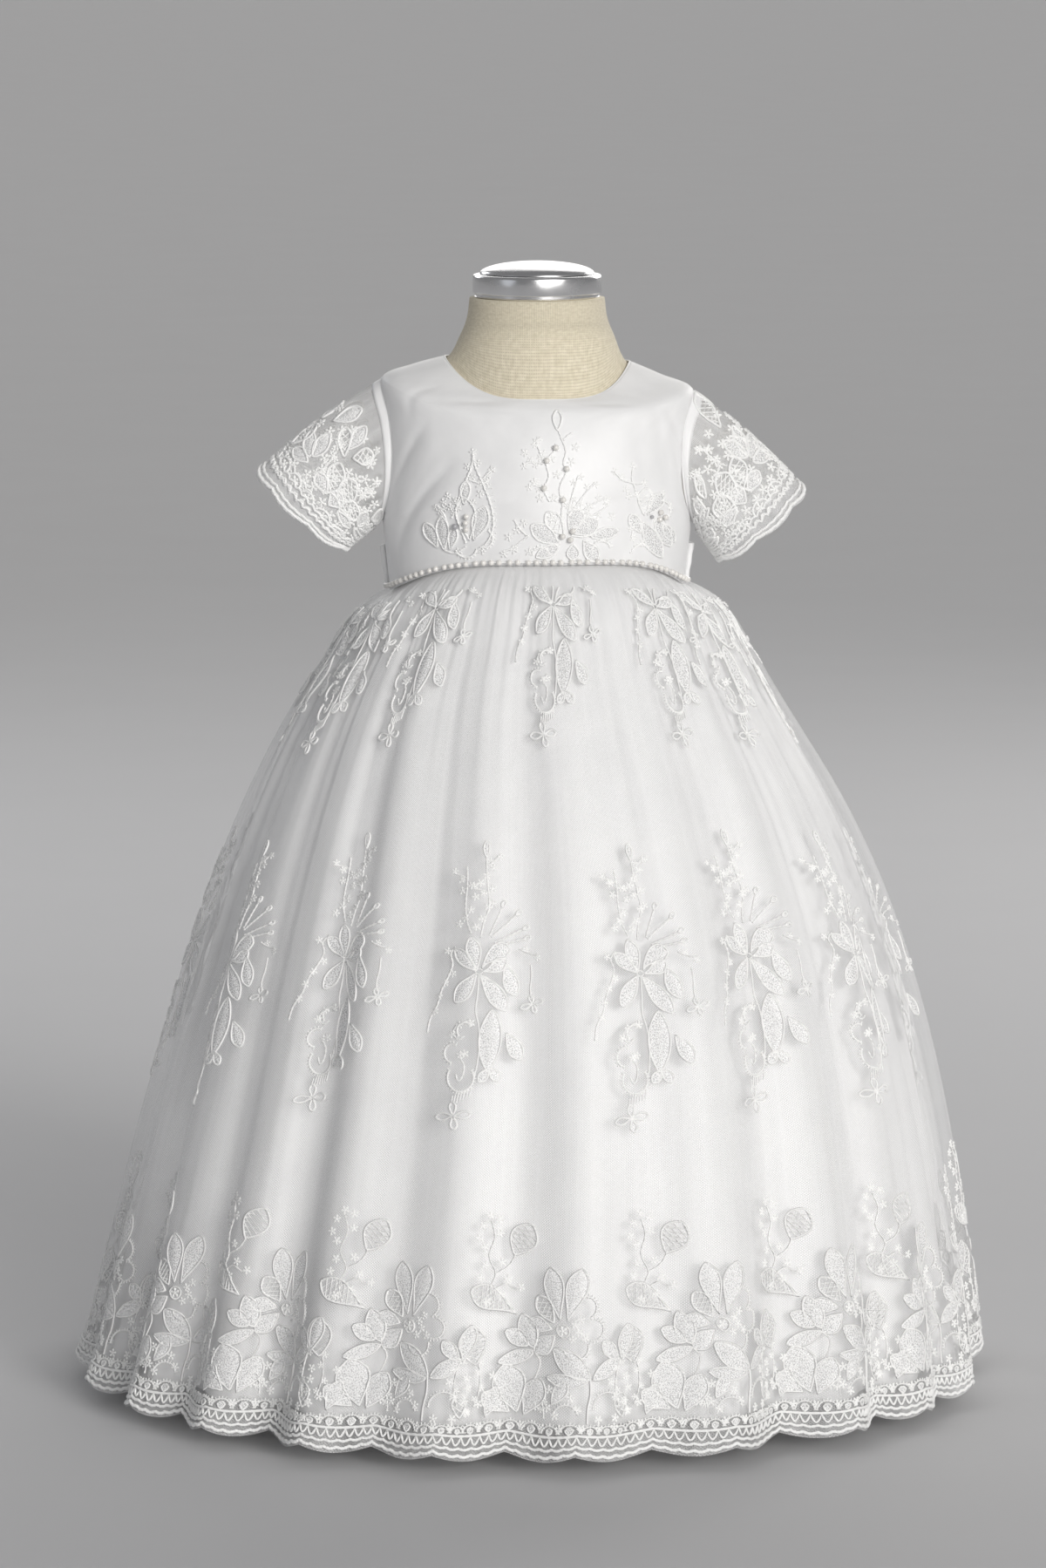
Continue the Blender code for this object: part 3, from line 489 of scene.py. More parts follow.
# %% Pattern: satin weave
# Long slanting floats of thread, with a slow unevenness.
sizes = {"Place": "Vector", "Threads": 1600.0, "Slubs": 90.0}
group, given, out = new_group("Shader", "satin_weave", sizes, ["Height", "Tone"])
x, y, _ = axes(group, given["Place"])
across = product(group, x, given["Threads"])
slant = product(group, product(group, y, given["Threads"]), 0.4)
twill = calculate(group, "SINE", calculate(group, "ADD", across, slant))
slub = noise(group, given["Place"], given["Slubs"], 3.0)
feed(group, out, Height=calculate(group, "ADD", product(group, twill, 0.5), slub))
feed(group, out, Tone=remap(group, slub, 0.3, 0.7))
satin_weave = group

# %% Pattern: round-holed net
# Threads round a honeycomb of holes: three waves 60 degrees apart, cut at a level.
sizes = {"Place": "Vector", "Pitch": 0.0013, "Thread": 0.25, "Streaks": 130.0}
group, given, out = new_group("Shader", "net_holes", sizes, ["Thread mask", "Height", "Streak mask"])
turns = calculate(group, "DIVIDE", 2 * math.pi / math.cos(math.radians(30)), given["Pitch"])
waves = []
for turn in np.radians((0, 60, 120)):
    inputs = {0: given["Place"], 1: (math.cos(turn), math.sin(turn), 0.0)}
    along = add_node(group, "ShaderNodeVectorMath", inputs, "Value", operation="DOT_PRODUCT")
    waves.append(calculate(group, "COSINE", product(group, along, turns)))
total = calculate(group, "ADD", calculate(group, "ADD", waves[0], waves[1]), waves[2])
level = calculate(group, "MULTIPLY_ADD", given["Thread"], 3.0, -1.5)
mask = remap(group, calculate(group, "SUBTRACT", level, total), -0.45, 0.45)
feed(group, out, Thread_mask=mask, Height=mask)
inputs = {0: given["Place"], 1: (1.0, 0.02, 1.0)}
narrow = add_node(group, "ShaderNodeVectorMath", inputs, operation="MULTIPLY")
streak = noise(group, narrow, given["Streaks"], 4.0)
feed(group, out, Streak_mask=remap(group, streak, 0.32, 0.68))
net_holes = group

# %% Pattern: twisted thread
# Fine fibres and the slanting twist of a thick embroidery thread.
sizes = {"Place": "Vector", "Twists": 900.0, "Fibres": 2600.0}
group, given, out = new_group("Shader", "thread_twist", sizes, ["Height", "Tone"])
x, y, z = axes(group, given["Place"])
total = calculate(group, "ADD", calculate(group, "ADD", x, y), z)
twist = calculate(group, "SINE", product(group, total, given["Twists"]))
fibre = noise(group, given["Place"], given["Fibres"], 2.0)
feed(group, out, Height=calculate(group, "MULTIPLY_ADD", twist, 0.35, fibre))
feed(group, out, Tone=remap(group, fibre, 0.3, 0.7))
thread_twist = group

# %% Pattern: linen weave
# Uneven threads going over and under each other, with painted shade in the gaps where both are low.
sizes = {"Place": "Vector", "Threads": 900.0, "Unevenness": 0.5}
group, given, out = new_group("Shader", "linen_weave", sizes, ["Height", "Pinhole", "Tone"])
x, y, _ = axes(group, given["Place"])
wander = noise(group, given["Place"], 140.0, 2.0)
bend = product(group, wander, given["Unevenness"])
turns = product(group, given["Threads"], 2 * math.pi)
across = calculate(group, "MULTIPLY_ADD", x, turns, product(group, bend, 6.0))
along = calculate(group, "MULTIPLY_ADD", y, turns, product(group, bend, 4.0))
warp, weft = (
    calculate(group, "ABSOLUTE", calculate(group, "SINE", product(group, way, 0.5)))
    for way in (across, along)
)
higher = calculate(group, "MAXIMUM", warp, weft)
tone = noise(group, given["Place"], 420.0, 4.0)
# Painted shade: a mask that is 1 in the gaps between the threads, where neither thread is high.
feed(group, out, Height=higher, Pinhole=remap(group, higher, 0.62, 0.3))
feed(group, out, Tone=remap(group, tone, 0.3, 0.7))
linen_weave = group
print("patterns:", [group.name for group in bpy.data.node_groups])

# %% A material with its shader and a place to read the pattern from
def new_material(name, colour, roughness, **sockets):
    """A Principled material. Keywords are the shader's sockets, with _ for a space."""
    material = bpy.data.materials.new(name)
    material.use_nodes = True
    tree = material.node_tree
    shader = tree.nodes["Principled BSDF"].inputs
    feed(tree, shader, Base_Color=(*colour, 1.0), Roughness=roughness, **sockets)
    return material, tree, shader


def cloth_place(tree, width, length):
    """The flat cloth's own place in metres, from its UV map, which runs from 0 to 1 each way."""
    place = add_node(tree, "ShaderNodeTexCoord", output="UV")
    return add_node(tree, "ShaderNodeMapping", {"Vector": place, "Scale": (width, length, 1.0)})


def object_place(tree):
    return add_node(tree, "ShaderNodeTexCoord", output="Object")


def use_group(tree, group, **inputs):
    return add_node(tree, "ShaderNodeGroup", inputs, node_tree=group).node.outputs


def relief(tree, height, distance, strength=1.0):
    inputs = {"Height": height, "Distance": distance, "Strength": strength}
    return add_node(tree, "ShaderNodeBump", inputs)


def blend(tree, share, low, high):
    """A mix of two colours, of which one may come from another node."""
    low, high = (c if isinstance(c, bpy.types.NodeSocket) else (*c, 1.0) for c in (low, high))
    return add_node(tree, "ShaderNodeMix", {"Factor": share, 6: low, 7: high}, 2, data_type="RGBA")


def tinted(colour, share):
    return tuple(min(1.0, c * share) for c in colour)

# %% [markdown]
# ## Satin, net, lace thread and the rest
#
# The bridal satin is white and smooth, with a soft wide gleam and a faint change of tone along its
# threads. The net is as white, but mostly holes, so its alpha follows the hole pattern. The
# embroidery thread is matt and the whitest of all, the pearls are glossy and faintly warm, and the
# form's linen is unbleached.

# %% Cloth finishes
def make_satin(name, width, length, colour=(0.835, 0.835, 0.84)):
    material, tree, shader = new_material(name, colour, 0.42, Sheen_Weight=0.25, Sheen_Roughness=0.35)
    place = cloth_place(tree, width, length) if width else object_place(tree)
    weave = use_group(tree, satin_weave, Place=place, Threads=9000.0, Slubs=60.0)
    feed(tree, shader, Normal=relief(tree, weave["Height"], 0.00003, 0.5))
    feed(tree, shader, Base_Color=blend(tree, weave["Tone"], tinted(colour, 0.975), tinted(colour, 1.03)))
    feed(tree, shader, Roughness=remap(tree, weave["Tone"], 0.0, 1.0, 0.38, 0.47))
    return material


def make_net(name, width, length, thin=0.20, thick=0.50, pitch=0.0011):
    material, tree, shader = new_material(name, (0.93, 0.93, 0.935), 0.7)
    place = cloth_place(tree, width, length)
    holes = use_group(tree, net_holes, Place=place, Pitch=pitch, Thread=0.34)
    body = remap(tree, holes["Thread mask"], 0.0, 1.0, thin, thick)
    streaks = remap(tree, holes["Streak mask"], 0.0, 1.0, 0.72, 1.28)
    feed(tree, shader, Alpha=product(tree, body, streaks))
    slubs = use_group(tree, satin_weave, Place=place, Threads=400.0, Slubs=35.0)
    feed(tree, shader, Base_Color=blend(tree, slubs["Tone"], (0.90, 0.90, 0.91), (0.95, 0.95, 0.95)))
    feed(tree, shader, Normal=relief(tree, holes["Height"], 0.0001, 0.5))
    return material


THREAD_WHITE = (0.985, 0.985, 0.98)
thread, tree, shader = new_material("lace_thread", THREAD_WHITE, 0.62, Sheen_Weight=0.2)
twist = use_group(tree, thread_twist, Place=object_place(tree), Twists=3800.0, Fibres=2600.0)
feed(tree, shader, Normal=relief(tree, twist["Height"], 0.00025, 0.7))
feed(tree, shader, Base_Color=blend(tree, twist["Tone"], tinted(THREAD_WHITE, 0.95), THREAD_WHITE))

# Close rows of stitches that fill a petal, with the net just showing between them.
stitching, tree, shader = new_material("lace_stitching", (0.92, 0.92, 0.92), 0.6)
grain = add_node(tree, "ShaderNodeTexVoronoi", {"Vector": object_place(tree), "Scale": 1500.0})
knots = remap(tree, grain, 0.15, 0.75, 1.0, 0.0)
feed(tree, shader, Normal=relief(tree, knots, 0.0003, 0.45))
feed(tree, shader, Base_Color=blend(tree, knots, (0.88, 0.88, 0.885), (0.955, 0.955, 0.955)))
feed(tree, shader, Alpha=remap(tree, knots, 0.0, 0.6, 0.40, 0.92))

LINEN_WIDTH, LINEN_LENGTH = 0.52, 0.32  # the linen's own size on the form's UV map

linen, tree, shader = new_material("linen", (0.78, 0.71, 0.55), 0.85, Sheen_Weight=0.15)
place = cloth_place(tree, LINEN_WIDTH, LINEN_LENGTH)
weave = use_group(tree, linen_weave, Place=place, Threads=1050.0, Unevenness=0.7)
feed(tree, shader, Normal=relief(tree, weave["Height"], 0.0004, 0.8))
flax = blend(tree, weave["Tone"], (0.70, 0.63, 0.475), (0.86, 0.79, 0.63))
# Painted shade: the weave's gaps are painted a dark brown.
feed(tree, shader, Base_Color=blend(tree, weave["Pinhole"], flax, (0.46, 0.39, 0.28)))

# %% Hard finishes
def make_pearl(name, colour, roughness=0.2):
    material, tree, shader = new_material(name, colour, roughness, Coat_Weight=1.0, Coat_Roughness=0.06)
    share = remap(tree, noise(tree, object_place(tree), 320.0, 3.0), 0.35, 0.65)
    feed(tree, shader, Base_Color=blend(tree, share, tinted(colour, 0.9), colour))
    feed(tree, shader, Roughness=remap(tree, share, 0.0, 1.0, roughness, roughness + 0.12))
    return material


chrome, tree, shader = new_material("chrome", (0.80, 0.80, 0.81), 0.2, Metallic=1.0)
smear = noise(tree, object_place(tree), 60.0, 6.0)
feed(tree, shader, Roughness=remap(tree, smear, 0.3, 0.7, 0.16, 0.3))

painted_steel, tree, shader = new_material("painted_steel", (0.035, 0.035, 0.04), 0.42, Coat_Weight=0.2)
grain = noise(tree, object_place(tree), 900.0, 2.0)
feed(tree, shader, Normal=relief(tree, grain, 0.0002, 0.4))
share = remap(tree, grain, 0.3, 0.7)
feed(tree, shader, Base_Color=blend(tree, share, (0.03, 0.03, 0.034), (0.05, 0.05, 0.056)))

pearl = make_pearl("pearl", (0.82, 0.80, 0.77), 0.16)
dark_pearl = make_pearl("dark_pearl", (0.42, 0.42, 0.44))
finishes = thread, stitching, linen, pearl, dark_pearl, chrome, painted_steel
print("finishes:", [material.name for material in finishes])

# %% [markdown]
# ## Mesh helpers
#
# A piece of cloth is a grid of points over its surface, with a UV map from 0 to 1 along its width
# and its length, so that a weave follows the cloth and not the room. A closed grid runs round a
# tube. Solidify gives a cloth its thickness inwards where its edge shows.
#
# One helper tells the frame about a finished piece: it rides on the gown's one body, and it
# stands for the solids that are named.

# %% Pieces of cloth
def link(name, mesh, *materials):
    piece = bpy.data.objects.new(name, mesh)
    bpy.context.scene.collection.objects.link(piece)
    for material in materials:
        mesh.materials.append(material)
    return piece


def finished(piece, slot, *nodes):
    """Makes a piece ride on the body and stand for its solids. The slot is not used."""
    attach(piece, "root")
    if nodes:
        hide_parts(*nodes)
    print(f"{piece.name}: {sum(len(face.vertices) - 2 for face in piece.data.polygons)} triangles")
    return piece


def new_mesh(name, points, edges=(), faces=()):
    mesh = bpy.data.meshes.new(name)
    mesh.from_pydata(np.asarray(points, float).tolist(), list(edges), list(faces))
    return mesh


def grid_faces(rows, count, around):
    """The faces of a grid, and their corners' places in it as (along, row)."""
    i, j = (n.ravel() for n in np.meshgrid(np.arange(around), np.arange(rows - 1)))
    corners = np.stack([(i, j), (i + 1, j), (i + 1, j + 1), (i, j + 1)]).transpose(2, 0, 1)
    return corners[..., 0] % count + corners[..., 1] * count, corners


def grid_mesh(name, points, away, closed=False):
    """A mesh with a UV map from points[row, place], joined end to end where closed, facing away."""
    rows, count = points.shape[:2]
    around = count if closed else count - 1
    faces, corners = grid_faces(rows, count, around)
    uv = corners / (around, rows - 1)
    flat = points.reshape(-1, 3)
    a, b, c, d = (flat[faces[:, n]] for n in range(4))
    if (np.cross(c - a, d - b) * away((a + c) / 2)).sum() < 0:
        faces, uv = faces[:, ::-1], uv[:, ::-1]
    mesh = new_mesh(name, flat, faces=faces.tolist())
    layer = mesh.uv_layers.new(name="UVMap")
    layer.uv.foreach_set("vector", np.ascontiguousarray(uv, np.float32).ravel())
    mesh.shade_smooth()
    return mesh


def cloth_piece(name, points, material, wall=0.0, **how):
    """A piece of cloth over a grid of points, with a wall inwards where a thickness is given."""
    piece = link(name, grid_mesh(name, points, **how), material)
    if wall:
        solid = piece.modifiers.new("wall", "SOLIDIFY")
        solid.thickness, solid.offset = wall, -1
    return piece

# %% Joined, closed, baked and turned pieces
def joined(name, pieces):
    """Joins pieces into the first one and names it."""
    if len(pieces) > 1:
        with bpy.context.temp_override(active_object=pieces[0], selected_editable_objects=pieces):
            bpy.ops.object.join()
    pieces[0].name = pieces[0].data.name = name
    return pieces[0]


def close_ends(mesh, points):
    """Closes both ends of a tube made by grid_mesh."""
    bm = bmesh.new()
    bm.from_mesh(mesh)
    bm.verts.ensure_lookup_table()
    rows, count = points.shape[:2]
    bm.faces.new([bm.verts[i] for i in reversed(range(count))])
    bm.faces.new([bm.verts[(rows - 1) * count + i] for i in range(count)])
    bm.to_mesh(mesh)
    bm.free()
    mesh.shade_smooth()


def baked(piece):
    """The piece with its modifiers turned into a plain mesh."""
    shown = piece.evaluated_get(bpy.context.evaluated_depsgraph_get())
    mesh = bpy.data.meshes.new_from_object(shown)
    piece.modifiers.clear()
    piece.data = mesh
    mesh.name = piece.name
    return piece


SHARP_EDGE, MERGED = math.radians(42), 0.00005  # angle that stays sharp, and points that become one


def turned(name, profile, material, steps, slot, node):
    """A solid turned about Z from (radius, z) places, from its top centre to its bottom centre."""
    edges = [(i, i + 1) for i in range(len(profile) - 1)]
    piece = link(name, new_mesh(name, [(r * MM, 0, z * MM) for r, z in profile], edges), material)
    screw = piece.modifiers.new("turn", "SCREW")
    screw.steps = screw.render_steps = steps
    screw.use_merge_vertices = screw.use_smooth_shade = True
    screw.merge_threshold = MERGED
    piece = baked(piece)
    piece.data.set_sharp_from_angle(angle=SHARP_EDGE)
    return finished(piece, slot, node)

# %% [markdown]
# ## The dress form
#
# Under the gown stands an infant's dress form: a padded torso without arms or legs, covered in
# linen, with a chrome plate and cap on its neck, on a steel pole and a round base. Its torso shows
# at the neck and through the cuffs. It is made from the bodice's own rows, set in by the room
# between body and cloth, with a smooth curve run through them. The plate, cap, pole and base are
# turned about the upright axis.

# %% The torso and neck
FORM_GAP, FORM_EASE, FORM_WAIST_EASE = 0.7 * MM, 3 * MM, 5.5 * MM
FORM_LOWER = (  # height, half width, front and back in mm
    (330, 62, 46, 46), (334, 72, 55, 55), (348, 79, 60, 60),
    (380, 80, 62.5, 59), (420, 77, 61.5, 55), (450, 76.5, 59.5, 53),
)
FORM_BODICE_ROWS = (0, 1, 2, 4, 5, 6, 7, 8)
FORM_NECK = (603, 43.6, 39.6, 37.6), (613, 39.8, 37.2, 36), (624, 38.4, 36.4, 35.6)
FORM_COLUMNS, FORM_STEPS = 112, 5


def form_oval(row, angles):
    z, half_width, front, back = row
    turn = np.radians(angles)
    depth = np.where(np.cos(turn) >= 0, front, back)
    return np.stack([half_width * np.sin(turn), -depth * np.cos(turn), np.full_like(turn, z)], -1) * MM


angles = -180 + 360 * np.arange(FORM_COLUMNS) / FORM_COLUMNS
rows = [form_oval(row, angles) for row in FORM_LOWER]
for row in FORM_BODICE_ROWS:
    ease = FORM_WAIST_EASE if row < 1 else FORM_EASE if row < SHOULDER_ROW else FORM_GAP
    level = np.full_like(angles, row)
    rows.append(bodice_base(angles, level) - bodice_normal(angles, level) * (CLOTH + ease))
rows += [form_oval(row, angles) for row in FORM_NECK]
at = np.arange((len(rows) - 1) * FORM_STEPS + 1) / FORM_STEPS
flat = np.array(rows).reshape(len(rows), -1)
points = np.stack([smooth_between(values, at) for values in flat.T], -1).reshape(len(at), -1, 3)

piece = cloth_piece("torso", points, linen, closed=True, away=from_axis)

# The weave keeps its size although the rows differ in length.
around = np.linalg.norm(np.diff(points, axis=1, append=points[:, :1]), axis=-1).sum(axis=1)
layer = piece.data.uv_layers["UVMap"].uv
uv = np.empty(len(layer) * 2, np.float32)
layer.foreach_get("vector", uv)
uv = uv.reshape(-1, 2)
row = np.round(uv[:, 1] * (len(points) - 1)).astype(int)
uv[:, 0] = 0.5 + (uv[:, 0] - 0.5) * around[row] / LINEN_WIDTH
layer.foreach_set("vector", uv.ravel())
close_ends(piece.data, points)
finished(piece, "linen", "form_torso")

# %% The chrome plate and cap, the pole and the base
NECK_PLATE = (
    (0, 637.3), (30, 637.3), (34.9, 637.3), (35.9, 637.0), (36.4, 636.4), (36.6, 635.4), (36.6, 627.4),
    (36.4, 626.8), (35.9, 626.5), (35.0, 626.4), (35.0, 625.2), (35.6, 624.7), (34.8, 624.3), (0, 624.3),
)
CAP_RIM, CAP_FOOT, CAP_HEIGHT = 32.6, 637.6, 7.0
CAP = [(CAP_RIM * math.sin(t), CAP_FOOT + CAP_HEIGHT * math.cos(t)) for t in np.radians(range(0, 91, 6))]
POLE = (0, 329.7), (10.2, 329.7), (11, 328.9), (11, 9.1), (10.2, 8.3), (0, 8.3)
BASE = (
    (0, 8), (11.3, 8), (11.3, 23.2), (12.1, 24), (15.4, 24), (17.2, 23.6), (18.5, 22.5), (19, 21),
    (19.1, 17), (19.6, 12), (20.4, 9.4), (21.6, 8.5), (23.5, 8.05), (60, 8.0), (84.6, 8.0), (86.3, 7.6),
    (87.5, 6.7), (88, 5.5), (88, 1), (87.7, 0.3), (87, 0), (0, 0),
)
turned("neck_plate", NECK_PLATE, chrome, 96, "chrome", "form_neck_plate")
turned("neck_cap", [*CAP, (0, CAP_FOOT)], chrome, 96, "chrome", "form_neck_cap")
turned("stand_pole", POLE, painted_steel, 48, "painted_steel", "form_pole")
turned("stand_base", BASE, painted_steel, 96, "painted_steel", "form_base")

# %% [markdown]
# ## The bodice
#
# The bodice is three panels of satin: a front, and two backs that meet at the centre back. Each
# lies between two edges on the bodice's surface, with a grid that is finest at the armholes. Where
# panels are sewn together the cloth dips into the seam, so the grid is pushed in beside each edge.

# %% The bodice's panels
SATIN_WALL = 0.8 * MM
SEAM_DIP, SEAM_DIP_WIDTH = 0.5 * MM, 1.3
PANEL_ROWS = np.unique(np.concatenate([
    np.linspace(0, ARMPIT_ROW, 18),
    ARMHOLE_MIDDLE - ARMHOLE_HALF * np.cos(np.linspace(0, np.pi, 46)),
    np.linspace(SHOULDER_ROW, NECK_ROW, 18),
]).round(6))


def make_panel(name, node, first, last, columns, material, rows=PANEL_ROWS, out=None):
    """Satin between two edges, dipping into the seams there, or lifted by out(angle, row)."""
    rows = rows[:, None]
    share = np.linspace(0, 1, columns + 1)[None, :]
    start, end = first(rows), last(rows)
    angle = start + (end - start) * share
    rows = rows + 0 * share
    if out is None:
        from_edge = np.minimum(np.abs(angle - start), np.abs(angle - end)) * DEGREE_MM
        lift = -SEAM_DIP * np.exp(-((from_edge / SEAM_DIP_WIDTH) ** 2))
    else:
        lift = out(angle, rows)
    points = bodice_point(angle, rows, lift)
    return finished(cloth_piece(name, points, material, SATIN_WALL, away=from_axis), "satin", node)


def seam_at(angle, bite=0.0):
    """A panel's edge: an angle on every row, with the armhole's bite where one is given."""
    return lambda row: angle + armhole_lean(row, bite)


satin_front, satin_back = make_satin("satin_front", 0.27, 0.13), make_satin("satin_back", 0.15, 0.14)
edges = seam_at(-90, FRONT_ARMHOLE), seam_at(90, -FRONT_ARMHOLE)
front = make_panel("satin_front", "bodice_front", *edges, 110, satin_front)
for side, *edges in (
    ("left", seam_at(90, BACK_ARMHOLE), seam_at(180)), ("right", seam_at(-180), seam_at(-90, -BACK_ARMHOLE)),
):
    back = make_panel(f"satin_back_{side}", f"bodice_back_{side}", *edges, 56, satin_back)

# %% [markdown]
# ## The sleeves
#
# The sleeves are sheer: the same net as the skirt, sewn into the armhole with a narrow satin
# seam allowance that shows through as a brighter strip. The net is one layer thin, so it is an
# open grid with a see-through finish and no wall.

# %% Net sleeves and their seams
SLEEVE_COLUMNS, SLEEVE_ROWS = 168, 26
SEAM_STATIONS, SEAM_LIFTS = (-0.045, -0.02, 0.01, 0.035, 0.06), (-0.6, 0.0, 0.3, 0.3, 0.1)  # lifts in mm
SEAM_WALL = 0.5 * MM
sleeve_net = make_net("sleeve_net", 0.24, 0.09, thin=0.24, thick=0.55)
seam_satin = make_satin("seam_satin", 0.24, 0.006)

for name, sleeve in SLEEVES.items():
    turns = 360 * np.arange(SLEEVE_COLUMNS)[None, :] / SLEEVE_COLUMNS
    how = {"closed": True, "away": sleeve_away(sleeve)}
    points = sleeve_place(sleeve, turns, np.linspace(0, 1, SLEEVE_ROWS)[:, None])
    net = finished(cloth_piece(f"{name}_net", points, sleeve_net, **how), "net", name)
    lift = np.array(SEAM_LIFTS)[:, None] * MM + 0 * turns
    points = sleeve_place(sleeve, turns, np.array(SEAM_STATIONS)[:, None], lift)
    strip = finished(cloth_piece(f"{name}_seam", points, seam_satin, SEAM_WALL, **how), "satin")

# %% [markdown]
# ## The two skirts
#
# The satin skirt hangs in soft folds and ends a little above the net's border. The net over it is
# gathered into the waist seam. Both are grids over their surfaces, with the rows closer together
# near the waist, where the cloth turns outwards. The satin has a thickness and a turned hem, and
# the net is one open layer.

# %% Satin skirt
SATIN_PER_FOLD, SATIN_ROWS, ROW_POWER = 18, 52, 1.45
HEM_TURN, HEM_TURN_SHARE = 0.6 * MM, 0.024  # how far the hem stands out, and its share of the drop


def drops_to(last, count):
    """Shares of the drop, closer together near the waist."""
    return last * np.linspace(0, 1, count) ** ROW_POWER


def phases(per_fold):
    return np.arange(FOLD_COUNT * per_fold)[None, :] / per_fold


def with_seam(points):
    """Adds the seam allowance: a first row that turns up and in behind the bodice's lower edge."""
    inwards = -from_axis(points[:1])
    inwards /= np.linalg.norm(inwards, axis=-1, keepdims=True)
    steps = ((1.3, 1.6), (0.35, 0.35))  # how far each row lies inwards and up, in mm
    rows = [points[:1] + inwards * back * MM + (0, 0, up * MM) for back, up in steps]
    return np.concatenate([*rows, points])


turn_edge = UNDERSKIRT_HEM - HEM_TURN_SHARE
drop = np.append(drops_to(UNDERSKIRT_HEM, SATIN_ROWS), (turn_edge - 0.002, turn_edge + 0.002))
drop, phase = np.unique(drop)[:, None], phases(SATIN_PER_FOLD)
out = HEM_TURN * np.clip((drop - turn_edge) / 0.003, 0, 1) + 0 * phase
points = with_seam(moved_out(satin_skirt_surface, phase, drop, out, SKIRT_STEPS))
# Painted light: the skirt's satin is the bodice's satin in a lighter colour, which makes up for the shade of
# the net and the folds over it.
satin = make_satin("satin_skirt", 1.65, 0.48, (0.895, 0.895, 0.90))
piece = cloth_piece("satin_skirt", points, satin, SATIN_WALL, closed=True, away=from_axis)
finished(piece, "satin", "underskirt")

# %% Net skirt
NET_PER_FOLD, NET_ROWS = 38, 74
points = with_seam(net_surface(phases(NET_PER_FOLD), drops_to(1.0, NET_ROWS)[:, None]))
net = make_net("skirt_net", 1.78, 0.52)
piece = cloth_piece("net_skirt", points, net, closed=True, away=from_axis)
finished(piece, "net", "overskirt")

# %% [markdown]
# ## Embroidery: a flat drawing first
#
# The embroidery is a drawing in thread: thick cords round petals and leaves, close stitches inside
# them, thin stems, and tiny blossoms. On the real gown a machine draws it on flat net, which is
# then cut and gathered. Here too a drawing is flat, in millimetres, with x across and y up, and is
# then laid on a surface of the gown.
#
# It is made up of cords, fills, blossoms and beads. As a machine reads a card of stitches, a
# drawing reads its motifs from lines of text, each of which starts with the motif's word:
#
# - petal, open, hatched or veined: x, y and angle of the base, length, width, then how it bends;
# - edge, rope, vein, stem or knobbly: a cord through the places x y x y and so on;
# - twig, sprig, arc and cross: x, y and the motif's own sizes, as its method below has them;
# - blossoms, beads or dark_beads: a size, and then the places.

# %% Cords and curves in the plane
FlatCord = namedtuple("FlatCord", "points radius knobbly")
FlatFill = namedtuple("FlatFill", "left right rise")
OUTLINE, VEIN, STEM, HATCH = 0.64, 0.45, 0.52, 0.34  # radii of the cords in mm
CORD_KINDS = {  # radius, and whether the cord is knobbly
    "edge": (OUTLINE, False), "rope": (OUTLINE, True), "vein": (VEIN, False), "stem": (STEM, False),
    "knobbly": (STEM, True),
}
SPOTS = ("blossoms", "beads", "dark_beads")
FILLED_SHARE = 0.88  # how much of a petal's width its stitches fill
CURVE_STEPS = 6


def smooth_line(points, spacing, closed=False):
    """Even points on a smooth curve through the given ones."""
    points = np.asarray(points, float)
    if closed:
        points = np.concatenate([points[-2:], points, points[:3]])
    at = np.arange(0, len(points) - 1 + 1e-9, 1 / CURVE_STEPS)
    fine = np.stack([smooth_between(points[:, k], at) for k in (0, 1)], -1)
    if closed:
        fine = fine[2 * CURVE_STEPS : -2 * CURVE_STEPS]
    run = running_length(fine)
    place = np.linspace(0, run[-1], max(2, int(round(run[-1] / spacing)) + 1))
    return np.stack([np.interp(place, run, fine[:, k]) for k in (0, 1)], -1)


def running_length(line):
    return np.concatenate([[0], np.cumsum(np.linalg.norm(np.diff(line, axis=0), axis=1))])


def ways(degrees):
    """Unit directions at angles in degrees."""
    turn = np.radians(degrees)
    return np.stack([np.cos(turn), np.sin(turn)], -1)


def walk(x, y, angles, length):
    """A line of even steps from a place, each step along the next of the angles."""
    steps = length / (len(angles) - 1) * ways(angles)
    return np.array((x, y), float) + np.cumsum(np.vstack([[0, 0], steps[:-1]]), axis=0)


print("a quarter turn runs", running_length(ways(np.linspace(0, 90, 50)))[-1].round(4))

